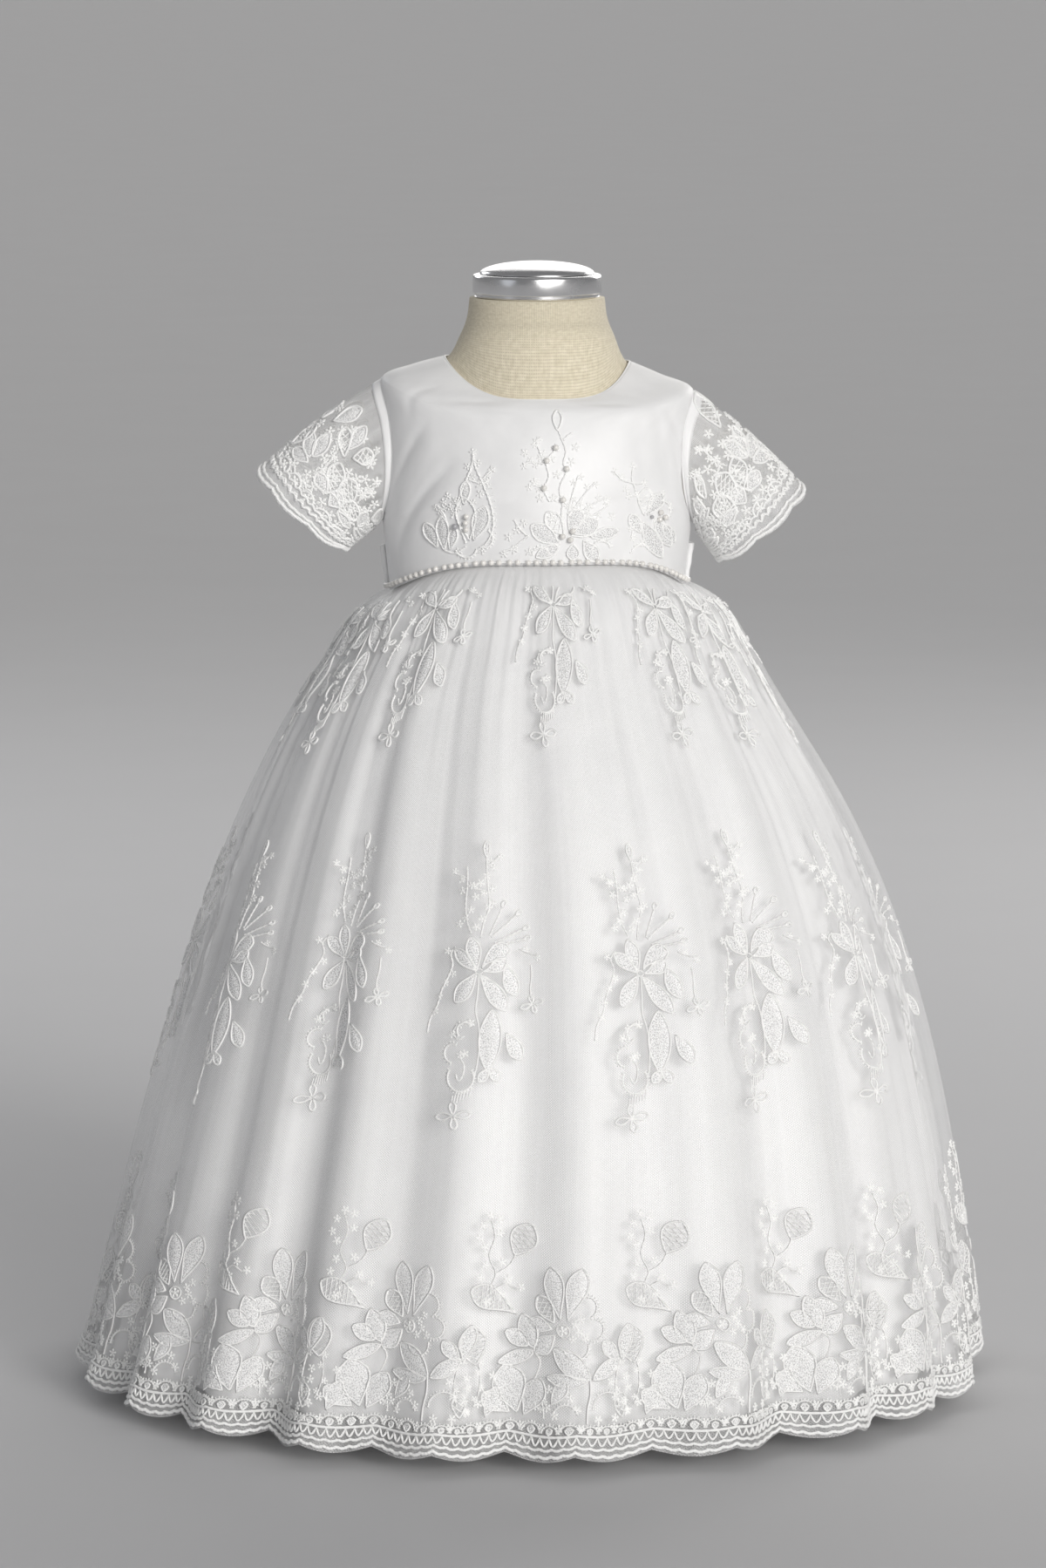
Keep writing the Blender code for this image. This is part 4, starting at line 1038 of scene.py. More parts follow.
# %% A flat drawing in thread
class Drawing:
    """Flat embroidery in millimetres."""

    def __init__(self, spacing=1.45):
        self.spacing = spacing
        self.cords, self.fills, self.spots = [], [], []

    def read(self, card):
        """Draws the motifs of a card, one a line: a word, its numbers and its named numbers."""
        for line in card.strip().splitlines():
            word, *rest = line.split()
            named = {key: float(value) for key, value in (pair.split("=") for pair in rest if "=" in pair)}
            numbers = [float(number) for number in rest if "=" not in number]
            if word in CORD_KINDS:
                radius, knobbly = CORD_KINDS[word]
                radius *= named.pop("bold", 1.0)
                self.cord(np.reshape(numbers, (-1, 2)), radius, knobbly, **named)
            elif word in ("petal", "open", "hatched", "veined"):
                self.petal(*numbers, kind=word, **named)
            elif word in SPOTS:
                self.spots += [(x, y, numbers[0], word) for x, y in np.reshape(numbers[1:], (-1, 2))]
            else:
                motifs = {"twig": self.twig, "sprig": self.sprig, "arc": self.arc, "cross": self.cross}
                motifs[word](*numbers, **named)
        return self

    def cord(self, points, radius, knobbly=False, closed=False, spacing=None):
        if len(points) > 2:
            points = smooth_line(points, spacing or self.spacing, closed)
        self.cords.append(FlatCord(np.asarray(points, float), radius, knobbly))

    def petal(self, x, y, angle, length, width, kind="petal", bend=0.0, belly=0.6, rise=0.6):
        """A corded petal from its base to its tip, widest where belly says, and bent by an angle."""
        share = np.linspace(0, 1, max(6, int(round(length / 2.2))))
        angles = angle + bend * share
        middle = walk(x, y, angles, length)
        curve = np.sin(np.pi * share ** (math.log(0.5) / math.log(belly)))
        half = width / 2 * np.maximum(curve, 0)[:, None] ** 0.75
        left, right = middle + ways(angles + 90) * half, middle - ways(angles + 90) * half
        self.cord(np.concatenate([left, right[-2:0:-1]]), OUTLINE, closed=True)
        last = len(middle) - 1
        if kind in ("petal", "veined"):
            sides = (middle + (side - middle) * FILLED_SHARE for side in (left, right))
            self.fills.append(FlatFill(*sides, rise))
        if kind == "veined":
            self.cord(middle[: int(len(middle) * 0.85) + 1], VEIN)
            for i in (min(int(share * last), last - 2) for share in (0.25, 0.42, 0.58, 0.74)):
                for side in (left, right):
                    self.cord([middle[i], middle[i] + (side[i + 2] - middle[i]) * 0.62], HATCH)
        if kind == "hatched":
            for i in range(last):
                j = min(i + 2, last)
                self.cord([left[i], right[j]], HATCH)
                self.cord([right[i], left[j]], HATCH)

    def arc(self, x, y, radius, start, end, depth=2.2):
        """An open petal edge: an arc of cord with close stitches across it."""
        centre = np.array((x, y))
        bow = ways(np.linspace(start, end, max(5, int(abs(end - start) / 22))))
        self.cord(centre + bow * radius, OUTLINE)
        count = max(3, int(abs(math.radians(end - start)) * radius / 1.5))
        for way in ways(np.linspace(start, end, count)):
            self.cord([centre + way * (radius - depth * 0.35), centre + way * (radius + depth * 0.65)], VEIN)

    def twig(self, x, y, angle, length, buds=3, bend=30.0):
        """A knobbly stem with blossoms at its side and its tip."""
        count = 6
        line = walk(x, y, angle + bend * np.linspace(0, 1, count), length)
        self.cord(line, STEM, knobbly=True)
        for i in range(int(buds)):
            at = line[int(round((i + 1) * (count - 1) / buds))] + ways(angle + bend + 90) * (-1) ** i * 1.5
            self.spots.append((*at, 2.1, "blossoms"))

    def sprig(self, x, y, angle, length):
        """A straight knobbly stem with one open bud at its tip."""
        line = walk(x, y, np.full(max(6, int(round(length / 2.2))), angle), length)
        self.cord(line, STEM, knobbly=True)
        self.petal(*line[-2], angle, 4.4, 2.4, "open")

    def cross(self, x, y, size, turn):
        """Four short leaves round a knot."""
        for i, long in enumerate((1.0, 0.8, 1.15, 0.8)):
            self.petal(x, y, turn + 90 * i, size * long, size * 0.42, "open", belly=0.65)
        self.spots.append((x, y, 2.0, "blossoms"))

    def moved(self, x=0.0, size=1.0, mirror=False):
        """A copy of the drawing, mirrored, sized and moved across."""
        scale = np.array((-size if mirror else size, size))

        def put(points):
            return np.asarray(points, float) * scale + (x, 0.0)

        copy = Drawing()
        copy.cords = [cord._replace(points=put(cord.points)) for cord in self.cords]
        copy.fills = [FlatFill(put(fill.left), put(fill.right), fill.rise) for fill in self.fills]
        copy.spots = [(*put((x, y)), radius * size, kind) for x, y, radius, kind in self.spots]
        return copy

    def below(self, top):
        """The part of the drawing that lies under a height, with the cords cut there."""
        kept = Drawing()
        for cord in self.cords:
            inside = cord.points[:, 1] < top
            runs = np.split(np.arange(len(inside)), np.flatnonzero(np.diff(inside.astype(int))) + 1)
            kept.cords += [
                cord._replace(points=cord.points[run]) for run in runs if inside[run[0]] and len(run) > 1
            ]
        kept.fills = [f for f in self.fills if max(f.left[:, 1].max(), f.right[:, 1].max()) < top]
        kept.spots = [spot for spot in self.spots if spot[1] < top]
        return kept

    def about(self):
        return f"{len(self.cords)} cords, {len(self.fills)} fills, {len(self.spots)} spots"

# %% [markdown]
# ## The skirt's spray
#
# The same spray repeats over the skirt: twigs of tiny blossoms rise from an open flower with six
# petals, and a veined leaf, a hanging flower and a small cross flower follow below it. It is about
# 70 mm wide and 165 mm tall. The origin is the open flower's eye.

# %% The spray
spray = Drawing().read("""
petal -1 1.6 104 18 7.6
petal -1.8 .6 138 17 7
petal -1.5 -1.2 236 20 8.6
petal .8 -1.8 308 26 9.2
petal 1.6 1.6 64 19 10.5 bend=-70 belly=.72
petal 1.9 0 8 14.5 7.4 bend=48 belly=.7
petal 14.5 3.5 286 19 8 bend=14
vein -2 0 0 1.7 2 0 0 -1.7 closed=1 spacing=.9
sprig 6 19 42 20
sprig 5 20 68 19
sprig 8 16 24 19
sprig 13 15 12 14
knobbly 0 19 1.5 28 4 36 3 46 2 55 1.5 64 1 74
petal 1.5 64 92 10 3.2
knobbly -5 21 -8 29 -9 38 -8.5 48 -9 59
blossoms 2.5 -9 30 -12.5 26 -6 34.5 -11.5 45 -6 48.5 -12.5 51.5 2.2 54 5.4 46.5 5.6 58.5 3.6 36
blossoms 2.5 .4 29.5 -3.6 42 6.2 38 -1.2 50 -2.6 25
twig 2.4 60 30 8 2
twig -9 52 150 8 2
twig 3.4 44 150 8 2
knobbly -14 13 -17 9 -15.5 3 -18 -4 -21.5 -11 -24 -20 -28.5 -28 -30 -36
blossoms 2.3 -19 10.5 -15 -2 -19.5 -7.5 -23 -15 -25.2 -23.5
twig 22 12 -30 11 2
stem 29 3 29.6 -4 29.2 -11 30.5 -16
cross 31 -19 6.4 20
stem 0 -2 -.2 -12 -.8 -22 1.2 -30 2.2 -40 1.4 -52 -.6 -62
veined 8.6 -21.5 268 34 12.6 belly=.48
petal 17 -35 302 17.5 8
petal 8.4 -54 232 9 5.2
petal 8.4 -54 312 9 5.2
knobbly -4 -27 -10 -30 -13 -34 -10 -38 -6 -36
arc -12.5 -46 5.4 70 260
arc -7.5 -59 7.6 150 395
arc -6 -33 4.6 40 220 1.8
knobbly -8 -48 -5.5 -52 -6 -58 -8.5 -61 -10 -57
blossoms 2.5 -8 -46.5 -5.4 -45.5 -9.4 -30 -3 -28.5 -13.6 -35.5
""")
for i in range(7):  # the hanging flower's fringe
    x = -11 + 1.7 * i
    spray.cord([(x, -69 + 0.9 * i), (x - 1.0, -74.5 + 0.8 * i)], VEIN)
spray.cross(-10, -80, 9.6, 8)
waist_spray = spray.below(13)
print("spray:", spray.about())

# %% [markdown]
# ## The hem's border
#
# The border's flowers repeat about every 95 mm. Each repeat has a large flower with long petals on
# one side and an open stitched edge on the other, a group of leaves, a petal filled with crossed
# threads, a rising twig of blossoms, and shells and crescents just above the edge. The origin is on
# the net's edge, at the left of the repeat.

# %% One repeat of the border
BORDER_WIDTH = 95.0
SHELLS = (  # place along the repeat and radius
    (5, 4.6), (15.5, 5.2), (27, 5.6), (39, 5.6), (50, 4.8), (61, 5.8), (72, 4.6), (81.5, 4.4), (90, 3.8),
)
border = Drawing(spacing=1.9).read("""
petal 53 78 103 29 11 belly=.66
petal 57 78 76 29 11.5 belly=.66
hatched 49.5 76.5 126 17 9.5
petal 48 73 168 14 8.2
petal 50 69.5 222 15 10
edge 51 73 53.5 76 57.5 74.5 58 70.5 54.5 68.5 closed=1
blossoms 3 54.5 72.4
arc 66 85 6.4 -60 150
arc 70.5 73 6 -100 80
arc 62 63.5 6.6 190 375
blossoms 2.5 61 76 64 79 63 72 66.5 68.5 60 68
petal 38 62 112 19 10.5 belly=.5
petal 35 63 150 15 8.4 belly=.5
petal 38 60 205 21 7.2 bend=-14 belly=.5
hatched 27.5 79.5 145 29 12.5 bend=10 belly=.68
stem 38 60 42 55 40 47 36 40
veined 70 46 141 26 11.5 belly=.52
petal 71.5 46 34 18.5 8.4 belly=.52
petal 69 45 184 23 7 bend=-20 belly=.52
stem 70 46 70.6 38 69.6 30 70 22 bold=1.5
knobbly 15 84 13 94 16 102 12 112 15 122 13 131
knobbly 16 102 23 106 27 113
knobbly 14 92 21 96 27 93
blossoms 2.6 12.5 134 17.5 132 8.5 129 18 124 9.5 117 6.5 122 10 107 19.5 108
blossoms 2.6 7.5 100 23 98.5 29.5 94 19.5 90 11.5 87
hatched 26 112 62 19 15 belly=.55
petal 30 26 108 27 18 belly=.62
petal 34 25 66 22 13 belly=.62
petal 26 26 146 19 10.5 belly=.62
""")
for x, radius in SHELLS:
    border.arc(x, 15.5, radius, 5, 175)
    border.petal(x, 15, 90, radius * 0.8, radius * 0.8, rise=0.3)
border.read("""
blossoms 2.6 10 19 21 19 33 19 45 19 55.5 19 67 19 77 19 86 19
arc 58 25 7.2 15 165
arc 80 31 7.6 20 190
veined 13 24 70 17 8.6
petal 50 32 60 15 7.6
hatched 90 24 100 14 7.6
twig 6 30 70 24 4 bend=40
twig 88 30 112 26 4 bend=-50
twig 46 24 95 14 3
hatched 6 53 100 21 15 belly=.56
petal 88 55 80 20 8.4
petal 86 55 130 15 7
blossoms 2.7 8.5 31 12.5 36 47.5 30 52 26 64 30 76 24 86 24 91 33 19 29 22 40
blossoms 2.7 48 40 53 36 82 44 91 46 16 46 2 40 60 36 41 30 2 27 93 27
""")
print("border repeat:", border.about())

# %% [markdown]
# ## Laying a drawing on the cloth
#
# A flat drawing must not stretch where the surface widens, so a table of running lengths across
# and along the surface turns its millimetres into the surface's own two numbers. A spray then
# keeps its size from the narrow waist to the wide hem, and folds into the valleys as net does.

# %% Running lengths of a surface
class Cloth:
    """A surface with tables of its running lengths across and along, in metres."""

    def __init__(self, surface, place, across, columns, rows):
        self.place = place
        self.a, self.b = np.linspace(*across, columns), np.linspace(0, 1, rows)
        grid = surface(*np.meshgrid(self.a, self.b))
        run = np.linalg.norm(np.diff(grid, axis=1), axis=-1)
        self.across = np.concatenate([np.zeros((rows, 1)), np.cumsum(run, axis=1)], axis=1)
        down = np.linalg.norm(np.diff(grid, axis=0), axis=-1).max(axis=1)
        self.along = np.concatenate([[0], np.cumsum(down)])

    def lay(self, a0, b0, squeeze=1.0):
        """A function that lays flat points on the surface, with the origin at (a0, b0) and y up."""
        start = np.interp(a0, self.a, np.arange(len(self.a)))
        left = min(int(start), len(self.a) - 2)

        def put(points, out):
            length = np.interp(b0, self.b, self.along) - points[:, 1] * MM
            b = np.interp(length, self.along, self.b)
            at = np.interp(b, self.b, np.arange(len(self.b)))
            low = np.clip(at.astype(int), 0, len(self.b) - 2)
            share = (at - low)[:, None]
            runs = self.across[low] * (1 - share) + self.across[low + 1] * share
            middle = runs[:, left] + (runs[:, left + 1] - runs[:, left]) * (start - left)
            wanted = middle + points[:, 0] * MM * squeeze
            below = np.clip((runs < wanted[:, None]).sum(axis=1) - 1, 0, len(self.a) - 2)
            line = np.arange(len(points))
            first, second = runs[line, below], runs[line, below + 1]
            a = self.a[below] + (wanted - first) / (second - first) * (self.a[1] - self.a[0])
            return self.place(a, b, out)

        return put


def lace_place(phase, drop, out):
    return moved_out(lace_surface, phase, drop, out, SKIRT_STEPS)


skirt_cloth = Cloth(hanging, lace_place, (-3, FOLD_COUNT + 3), 1150, 70)
hem_run = np.interp((0, FOLD_COUNT), skirt_cloth.a, skirt_cloth.across[-1])
print("net at the hem:", round(hem_run[1] - hem_run[0], 3), "m round")

# %% [markdown]
# ## Cords, blossoms and beads in Geometry Nodes
#
# Laid on the cloth, a drawing is only lines and points. Three node trees turn them into thread.
# The first runs a round profile along lines of edges, with a radius kept on each point. The second
# puts a small shape on each point, turned to the cloth's normal, with its own size and a spin
# from a fixed seed. The third spaces stitches along a line. Each ends in Realize Instances and Set
# Material, and the result is kept as a plain mesh.

# %% Three trees
def new_tree(name, **inputs):
    inputs = {"Geometry": "Geometry", **inputs, "Material": "Material"}
    return new_group("Geometry", name, inputs, ["Geometry"])


def end_tree(tree, given, out, kind, inputs):
    """Adds the node that makes the shape, then the ones that every tree ends with."""
    whole = add_node(tree, "GeometryNodeRealizeInstances", {0: add_node(tree, kind, inputs)})
    smooth = add_node(tree, "GeometryNodeSetShadeSmooth", {0: whole})
    inputs = {0: smooth, "Material": given["Material"]}
    feed(tree, out, {0: add_node(tree, "GeometryNodeSetMaterial", inputs)})
    return tree


def attribute(tree, name, kind):
    return add_node(tree, "GeometryNodeInputNamedAttribute", {"Name": name}, data_type=kind)


tree, given, out = new_tree("cord_on_path", Sides=5, Thickness=1.0)
path = add_node(tree, "GeometryNodeMeshToCurve", {0: given["Geometry"]})
scale = product(tree, attribute(tree, "cord_radius", "FLOAT"), given["Thickness"])
inputs = {"Resolution": given["Sides"], "Radius": 1.0}
ring = add_node(tree, "GeometryNodeCurvePrimitiveCircle", inputs)
inputs = {"Curve": path, "Profile Curve": ring, "Scale": scale, "Fill Caps": True}
cord_on_path = end_tree(tree, given, out, "GeometryNodeCurveToMesh", inputs)

tree, given, out = new_tree("shape_on_points", Shape="Object", Seed=1, Spin=1.0)
shape = add_node(tree, "GeometryNodeObjectInfo", {"Object": given["Shape"]}, "Geometry")
inputs = {"Vector": attribute(tree, "normal_way", "FLOAT_VECTOR")}
upright = add_node(tree, "FunctionNodeAlignRotationToVector", inputs, axis="Z")
inputs = {2: 0.0, 3: 2 * math.pi, "Seed": given["Seed"]}
turn = add_node(tree, "FunctionNodeRandomValue", inputs, 1, data_type="FLOAT")
inputs = {"Axis": (0.0, 0.0, 1.0), "Angle": product(tree, turn, given["Spin"])}
spin = add_node(tree, "FunctionNodeAxisAngleToRotation", inputs)
inputs = {0: upright, 1: spin}
rotation = add_node(tree, "FunctionNodeRotateRotation", inputs, rotation_space="LOCAL")
inputs = {"Points": given["Geometry"], "Instance": shape, "Rotation": rotation}
inputs["Scale"] = attribute(tree, "shape_size", "FLOAT")
shape_on_points = end_tree(tree, given, out, "GeometryNodeInstanceOnPoints", inputs)

tree, given, out = new_tree("stitches_on_path", Spacing=0.003, Length=0.002, Radius=0.0002)
path = add_node(tree, "GeometryNodeMeshToCurve", {0: given["Geometry"]})
inputs = {"Curve": path, "Length": given["Spacing"]}
even = add_node(tree, "GeometryNodeResampleCurve", inputs, mode="LENGTH")
inputs = {"Vector": add_node(tree, "GeometryNodeInputTangent")}
lying = add_node(tree, "FunctionNodeAlignRotationToVector", inputs, axis="X")
bead = add_node(tree, "GeometryNodeMeshIcoSphere", {"Radius": 1.0, "Subdivisions": 1})
half = product(tree, given["Length"], 0.5)
size = add_node(tree, "ShaderNodeCombineXYZ", {0: half, 1: given["Radius"], 2: given["Radius"]})
inputs = {"Points": even, "Instance": bead, "Rotation": lying, "Scale": size}
stitches_on_path = end_tree(tree, given, out, "GeometryNodeInstanceOnPoints", inputs)


def grown(piece, tree, **inputs):
    """Runs a tree on a piece and keeps the result as a plain mesh."""
    made = piece.modifiers.new("grow", "NODES")
    made.node_group = tree
    for item in tree.interface.items_tree:
        if item.in_out == "INPUT" and item.name in inputs:
            made[item.identifier] = inputs[item.name]
    return baked(piece)


print("trees:", [tree.name for tree in (cord_on_path, shape_on_points, stitches_on_path)])

# %% [markdown]
# ## A blossom, a pearl and the lace maker
#
# A blossom is five short stitched arms round a knot, with 25 faces, because many hundreds are sewn
# on. The lace maker lays the drawings of one piece on their surface, and at the end grows the
# cords, fills, blossoms and beads and joins them.

# %% The blossom and the pearl
ARMS = 5
ARM = ((0.05, 0, 0.1), (0.66, -0.28, 0), (1.08, 0, 0.05), (0.66, 0.28, 0), (0.7, 0, 0.42))
EYE_RADIUS, EYE_HEIGHT = 0.3, 0.5

# Stitched arms round a knot, 2 units wide and half a unit high.
points, faces = [], []
for c, s in ways(np.arange(ARMS) * 360 / ARMS):
    start = len(points)
    points += [(along * c - across * s, along * s + across * c, height) for along, across, height in ARM]
    faces += [(start + k, start + (k + 1) % 4, start + 4) for k in range(4)]
start = len(points)
points += [(EYE_RADIUS * c, EYE_RADIUS * s, 0.05) for c, s in ways((np.arange(ARMS) + 0.5) * 360 / ARMS)]
points.append((0, 0, EYE_HEIGHT))
faces += [(start + i, start + (i + 1) % ARMS, start + ARMS) for i in range(ARMS)]
blossom_shape = link("blossom", new_mesh("blossom", points, faces=faces))

bm = bmesh.new()
bmesh.ops.create_uvsphere(bm, u_segments=14, v_segments=9, radius=1.0)
bm.verts.index_update()
faces = sorted([corner.index for corner in face.verts] for face in bm.faces)  # the same on each run
pearl_shape = link("ball", new_mesh("ball", [corner.co[:] for corner in bm.verts], faces=faces))
bm.free()

SPOT_SHAPES = {  # shape, finish, and how far it is raised, as a share of its size
    "blossoms": (blossom_shape, thread, 0.0), "beads": (pearl_shape, pearl, 0.9),
    "dark_beads": (pearl_shape, dark_pearl, 0.9),
}
print("faces:", len(blossom_shape.data.polygons), "a blossom,", len(pearl_shape.data.polygons), "a pearl")

# %% Shapes on points and cords on lines
def keep_values(mesh, name, kind, values):
    """Stores a number or a direction on each point of a mesh."""
    store = mesh.attributes.new(name, kind, "POINT").data
    word = "vector" if kind == "FLOAT_VECTOR" else "value"
    store.foreach_set(word, np.asarray(values, np.float32).ravel())


def scattered(name, feet, normals, sizes, shape, material, seed=1):
    """A shape on every foot, upright on the cloth there."""
    mesh = new_mesh(name, feet)
    keep_values(mesh, "normal_way", "FLOAT_VECTOR", normals)
    keep_values(mesh, "shape_size", "FLOAT", sizes)
    return grown(link(name, mesh), shape_on_points, Shape=shape, Seed=seed, Spin=1.0, Material=material)


def line_piece(name, lines, radii):
    """Lines of points with their radii, each closed if it ends where it starts."""
    points, edges, values = [], [], []
    for line, radius in zip(lines, radii):
        radius = np.broadcast_to(radius, len(line))
        closed = bool(len(line) > 3 and np.linalg.norm(line[0] - line[-1]) < 1e-5)
        start, count = len(points), len(line) - closed
        points += line[:count].tolist()
        edges += [(start + i, start + i + 1) for i in range(count - 1)]
        edges += [(start + count - 1, start)] * closed
        values += radius[:count].tolist()
    mesh = new_mesh(name, points, edges)
    keep_values(mesh, "cord_radius", "FLOAT", values)
    return link(name, mesh)


def corded(name, lines, radii, sides, material):
    """A round cord along each line."""
    lines = line_piece(name, lines, radii)
    return grown(lines, cord_on_path, Sides=sides, Thickness=1.0, Material=material)

# %% The lace maker
FILL_LIFT, SPOT_LIFT, SPOT_REACH = 0.25 * MM, 0.1 * MM, 1.1 * MM
FILL_ROWS = ((0.0, 0.0), (0.25, 0.75), (0.5, 1.0), (0.75, 0.75), (1.0, 0.0))  # share across and of the rise
THICK_KNOB, THIN_KNOB, SUNK = 1.3, 0.72, 0.55
BUNCHES = (1.12, 1.12, 0.86)  # shares of an edge cord's radius, stitched in small bunches


class Lace:
    """Embroidery that is laid on the gown piece by piece and then grown into one mesh."""

    def __init__(self, name):
        self.name = name
        self.lines, self.radii, self.fills, self.spots = [], [], [], []

    def sew(self, drawing, put, bold=1.0):
        """Lays every point of a drawing at once, and sorts the results into cords, fills and spots."""
        flat, outs = [], []
        for cord in drawing.cords:
            radius = np.full(len(cord.points), cord.radius * bold * MM)
            if cord.knobbly:
                radius[::2] *= THICK_KNOB
                radius[1::2] *= THIN_KNOB
            self.radii.append(radius)
            flat.append(cord.points)
            outs.append(radius * SUNK)
        for fill in drawing.fills:
            for share, rise in FILL_ROWS:
                flat.append(fill.left + (fill.right - fill.left) * share)
                outs.append(np.full(len(fill.left), FILL_LIFT + rise * fill.rise * MM))
        spots = np.array([spot[:2] for spot in drawing.spots], float)
        flat += [spots, spots]
        outs += [np.full(len(spots), SPOT_LIFT), np.full(len(spots), SPOT_REACH)]
        laid = put(np.concatenate(flat), np.concatenate(outs))
        runs = iter(np.split(laid, np.cumsum([len(run) for run in flat])[:-1]))
        self.lines += [next(runs) for _ in drawing.cords]
        self.fills += [np.array([next(runs) for _ in FILL_ROWS]) for _ in drawing.fills]
        feet, tips = runs
        normals = (tips - feet) / np.linalg.norm(tips - feet, axis=1, keepdims=True)
        self.spots += zip(feet, normals, drawing.spots)
        return self

    def sew_edge(self, cloth, whole, height, radius, bulge, scallops, count):
        """A bunched cord right round, at a height above the edge in mm, with small scallops."""
        share = np.arange(count + 1) / count
        lift = height - bulge * np.abs(np.sin(np.pi * share * scallops))
        along = np.interp(cloth.along[-1] - lift * MM, cloth.along, cloth.b)
        self.lines.append(cloth.place(whole * share, along, radius * MM * 0.5))
        self.radii.append(radius * MM * np.resize(BUNCHES, count + 1))

    def grow(self, *nodes, seed=1, sides=5):
        parts = [corded(f"{self.name}_cords", self.lines, self.radii, sides, thread)]
        if self.fills:
            parts.append(self.fill_piece())
        for kind, (shape, finish, raised) in SPOT_SHAPES.items():
            chosen = [spot for spot in self.spots if spot[2][3] == kind]
            if chosen:
                feet, normals, spots = map(np.array, zip(*chosen))
                sizes = spots[:, 2:3].astype(float) * MM
                feet = feet + normals * sizes * raised
                parts.append(scattered(kind, feet, normals, sizes, shape, finish, seed))
        finished(joined(self.name, parts), "lace", *nodes)

    def fill_piece(self):
        """The stitched fill of every petal, a grid of five rows each."""
        points, faces = [], []
        for fill in self.fills:
            rows, count = fill.shape[:2]
            faces += (grid_faces(rows, count, count - 1)[0] + len(points)).tolist()
            points += fill.reshape(-1, 3).tolist()
        mesh = new_mesh("fills", points, faces=faces)
        mesh.shade_smooth()
        return link("fills", mesh, stitching)

# %% [markdown]
# ## Embroidery on the skirt
#
# Three rows of embroidery lie on the net. The waist row is the same spray, cut off by the waist
# seam and drawn together by the gathers. The middle row hangs free between waist and hem. Both
# have fourteen sprays round the skirt. The border runs round the hem, with scalloped cords and a
# row of small loops at its edge.

# %% Sprays at the middle and the waist
SPRAY_ROWS = (  # name, drawing, drop, how far and how fast the drops sway, squeeze, seed, phases
    ("middle_sprays", spray, 0.447, 0.006, 2.1, 1.0, 3,
     (4.2, 5.9, 7.6, 9.07, 10.48, 11.55, 13.03, 14.5, 15.9, 17.3, 18.7, 0.1, 1.5, 2.9)),
    ("waist_sprays", waist_spray, 0.043, 0.003, 1.7, 0.72, 5,
     (4.9, 6.2, 7.8, 9.92, 11.6, 12.85, 14.3, 15.6, 16.9, 18.2, 19.5, 0.8, 2.1, 3.6)),
)
for name, drawing, drop, sway, pace, squeeze, seed, places in SPRAY_ROWS:
    lace = Lace(name)
    for i, phase in enumerate(places):
        lace.sew(drawing, skirt_cloth.lay(phase, drop + sway * math.sin(i * pace), squeeze))
    lace.grow(seed=seed, sides=4)

# %% The border round the hem
BORDER_REPEATS = 18
HEM_SCALLOPS, HEM_LOOPS = 12 * FOLD_COUNT, 316
EDGE_CORDS = (  # height, radius and bulge in mm, scallops and points round the hem
    (3.3, 1, 1, HEM_SCALLOPS, 2600), (7.2, 0.85, 0.9, HEM_SCALLOPS, 2600),
    (14, 0.8, 0, HEM_SCALLOPS, 1100), (13.4, 0.62, 4.6, HEM_LOOPS, 7 * HEM_LOOPS),
)
lace = Lace("hem_border")
repeat = (hem_run[1] - hem_run[0]) / BORDER_REPEATS
for i in range(BORDER_REPEATS):
    phase = np.interp(hem_run[0] + (i + 0.5) * repeat, skirt_cloth.across[-1], skirt_cloth.a)
    put = skirt_cloth.lay(phase, 1.0, repeat / (BORDER_WIDTH * MM))
    lace.sew(border.moved(-BORDER_WIDTH / 2), put)
lace.grow(seed=7, sides=3)
edge_lace = Lace("hem_edge")
for row in EDGE_CORDS:
    edge_lace.sew_edge(skirt_cloth, FOLD_COUNT, *row)
edge_lace.grow()

# %% [markdown]
# ## Embroidery on the sleeves
#
# The sleeves are cut from the border of the same embroidered net, so their lower half is dense:
# a flower with crossed threads in its petals, leaves, blossoms and rows of wavy cord above a
# scalloped double cord. One drawing covers the front of a sleeve, and the same one its back.

# %% The sleeve's drawing
WAVE_LENGTH, WAVE_RISE, WAVE_STEPS = 5.0, 1.6, 6
WAVES = ((-44, 44, 10.0), (-44, 44, 14.2), (-40, -4, 18.6))  # from x to x, at a height
CUFF_SHELLS = (  # place across and radius
    (-38, 4.6), (-27, 4.8), (-16, 4.6), (-5, 4.4), (7, 5.2), (19, 4.8), (30, 4.8), (40, 4.2),
)
sleeve_drawing = Drawing()
for start, end, height in WAVES:
    x = np.linspace(start, end, int((end - start) / WAVE_LENGTH) * WAVE_STEPS + 1)
    rise = WAVE_RISE * np.abs(np.sin(np.pi * np.arange(len(x)) / WAVE_STEPS))
    sleeve_drawing.cord(np.stack([x, height + rise], -1), OUTLINE, spacing=1.2)
for x, radius in CUFF_SHELLS:
    sleeve_drawing.arc(x, 15, radius, 5, 175)
    sleeve_drawing.read(f"blossoms 2.8 {x} 16.2")
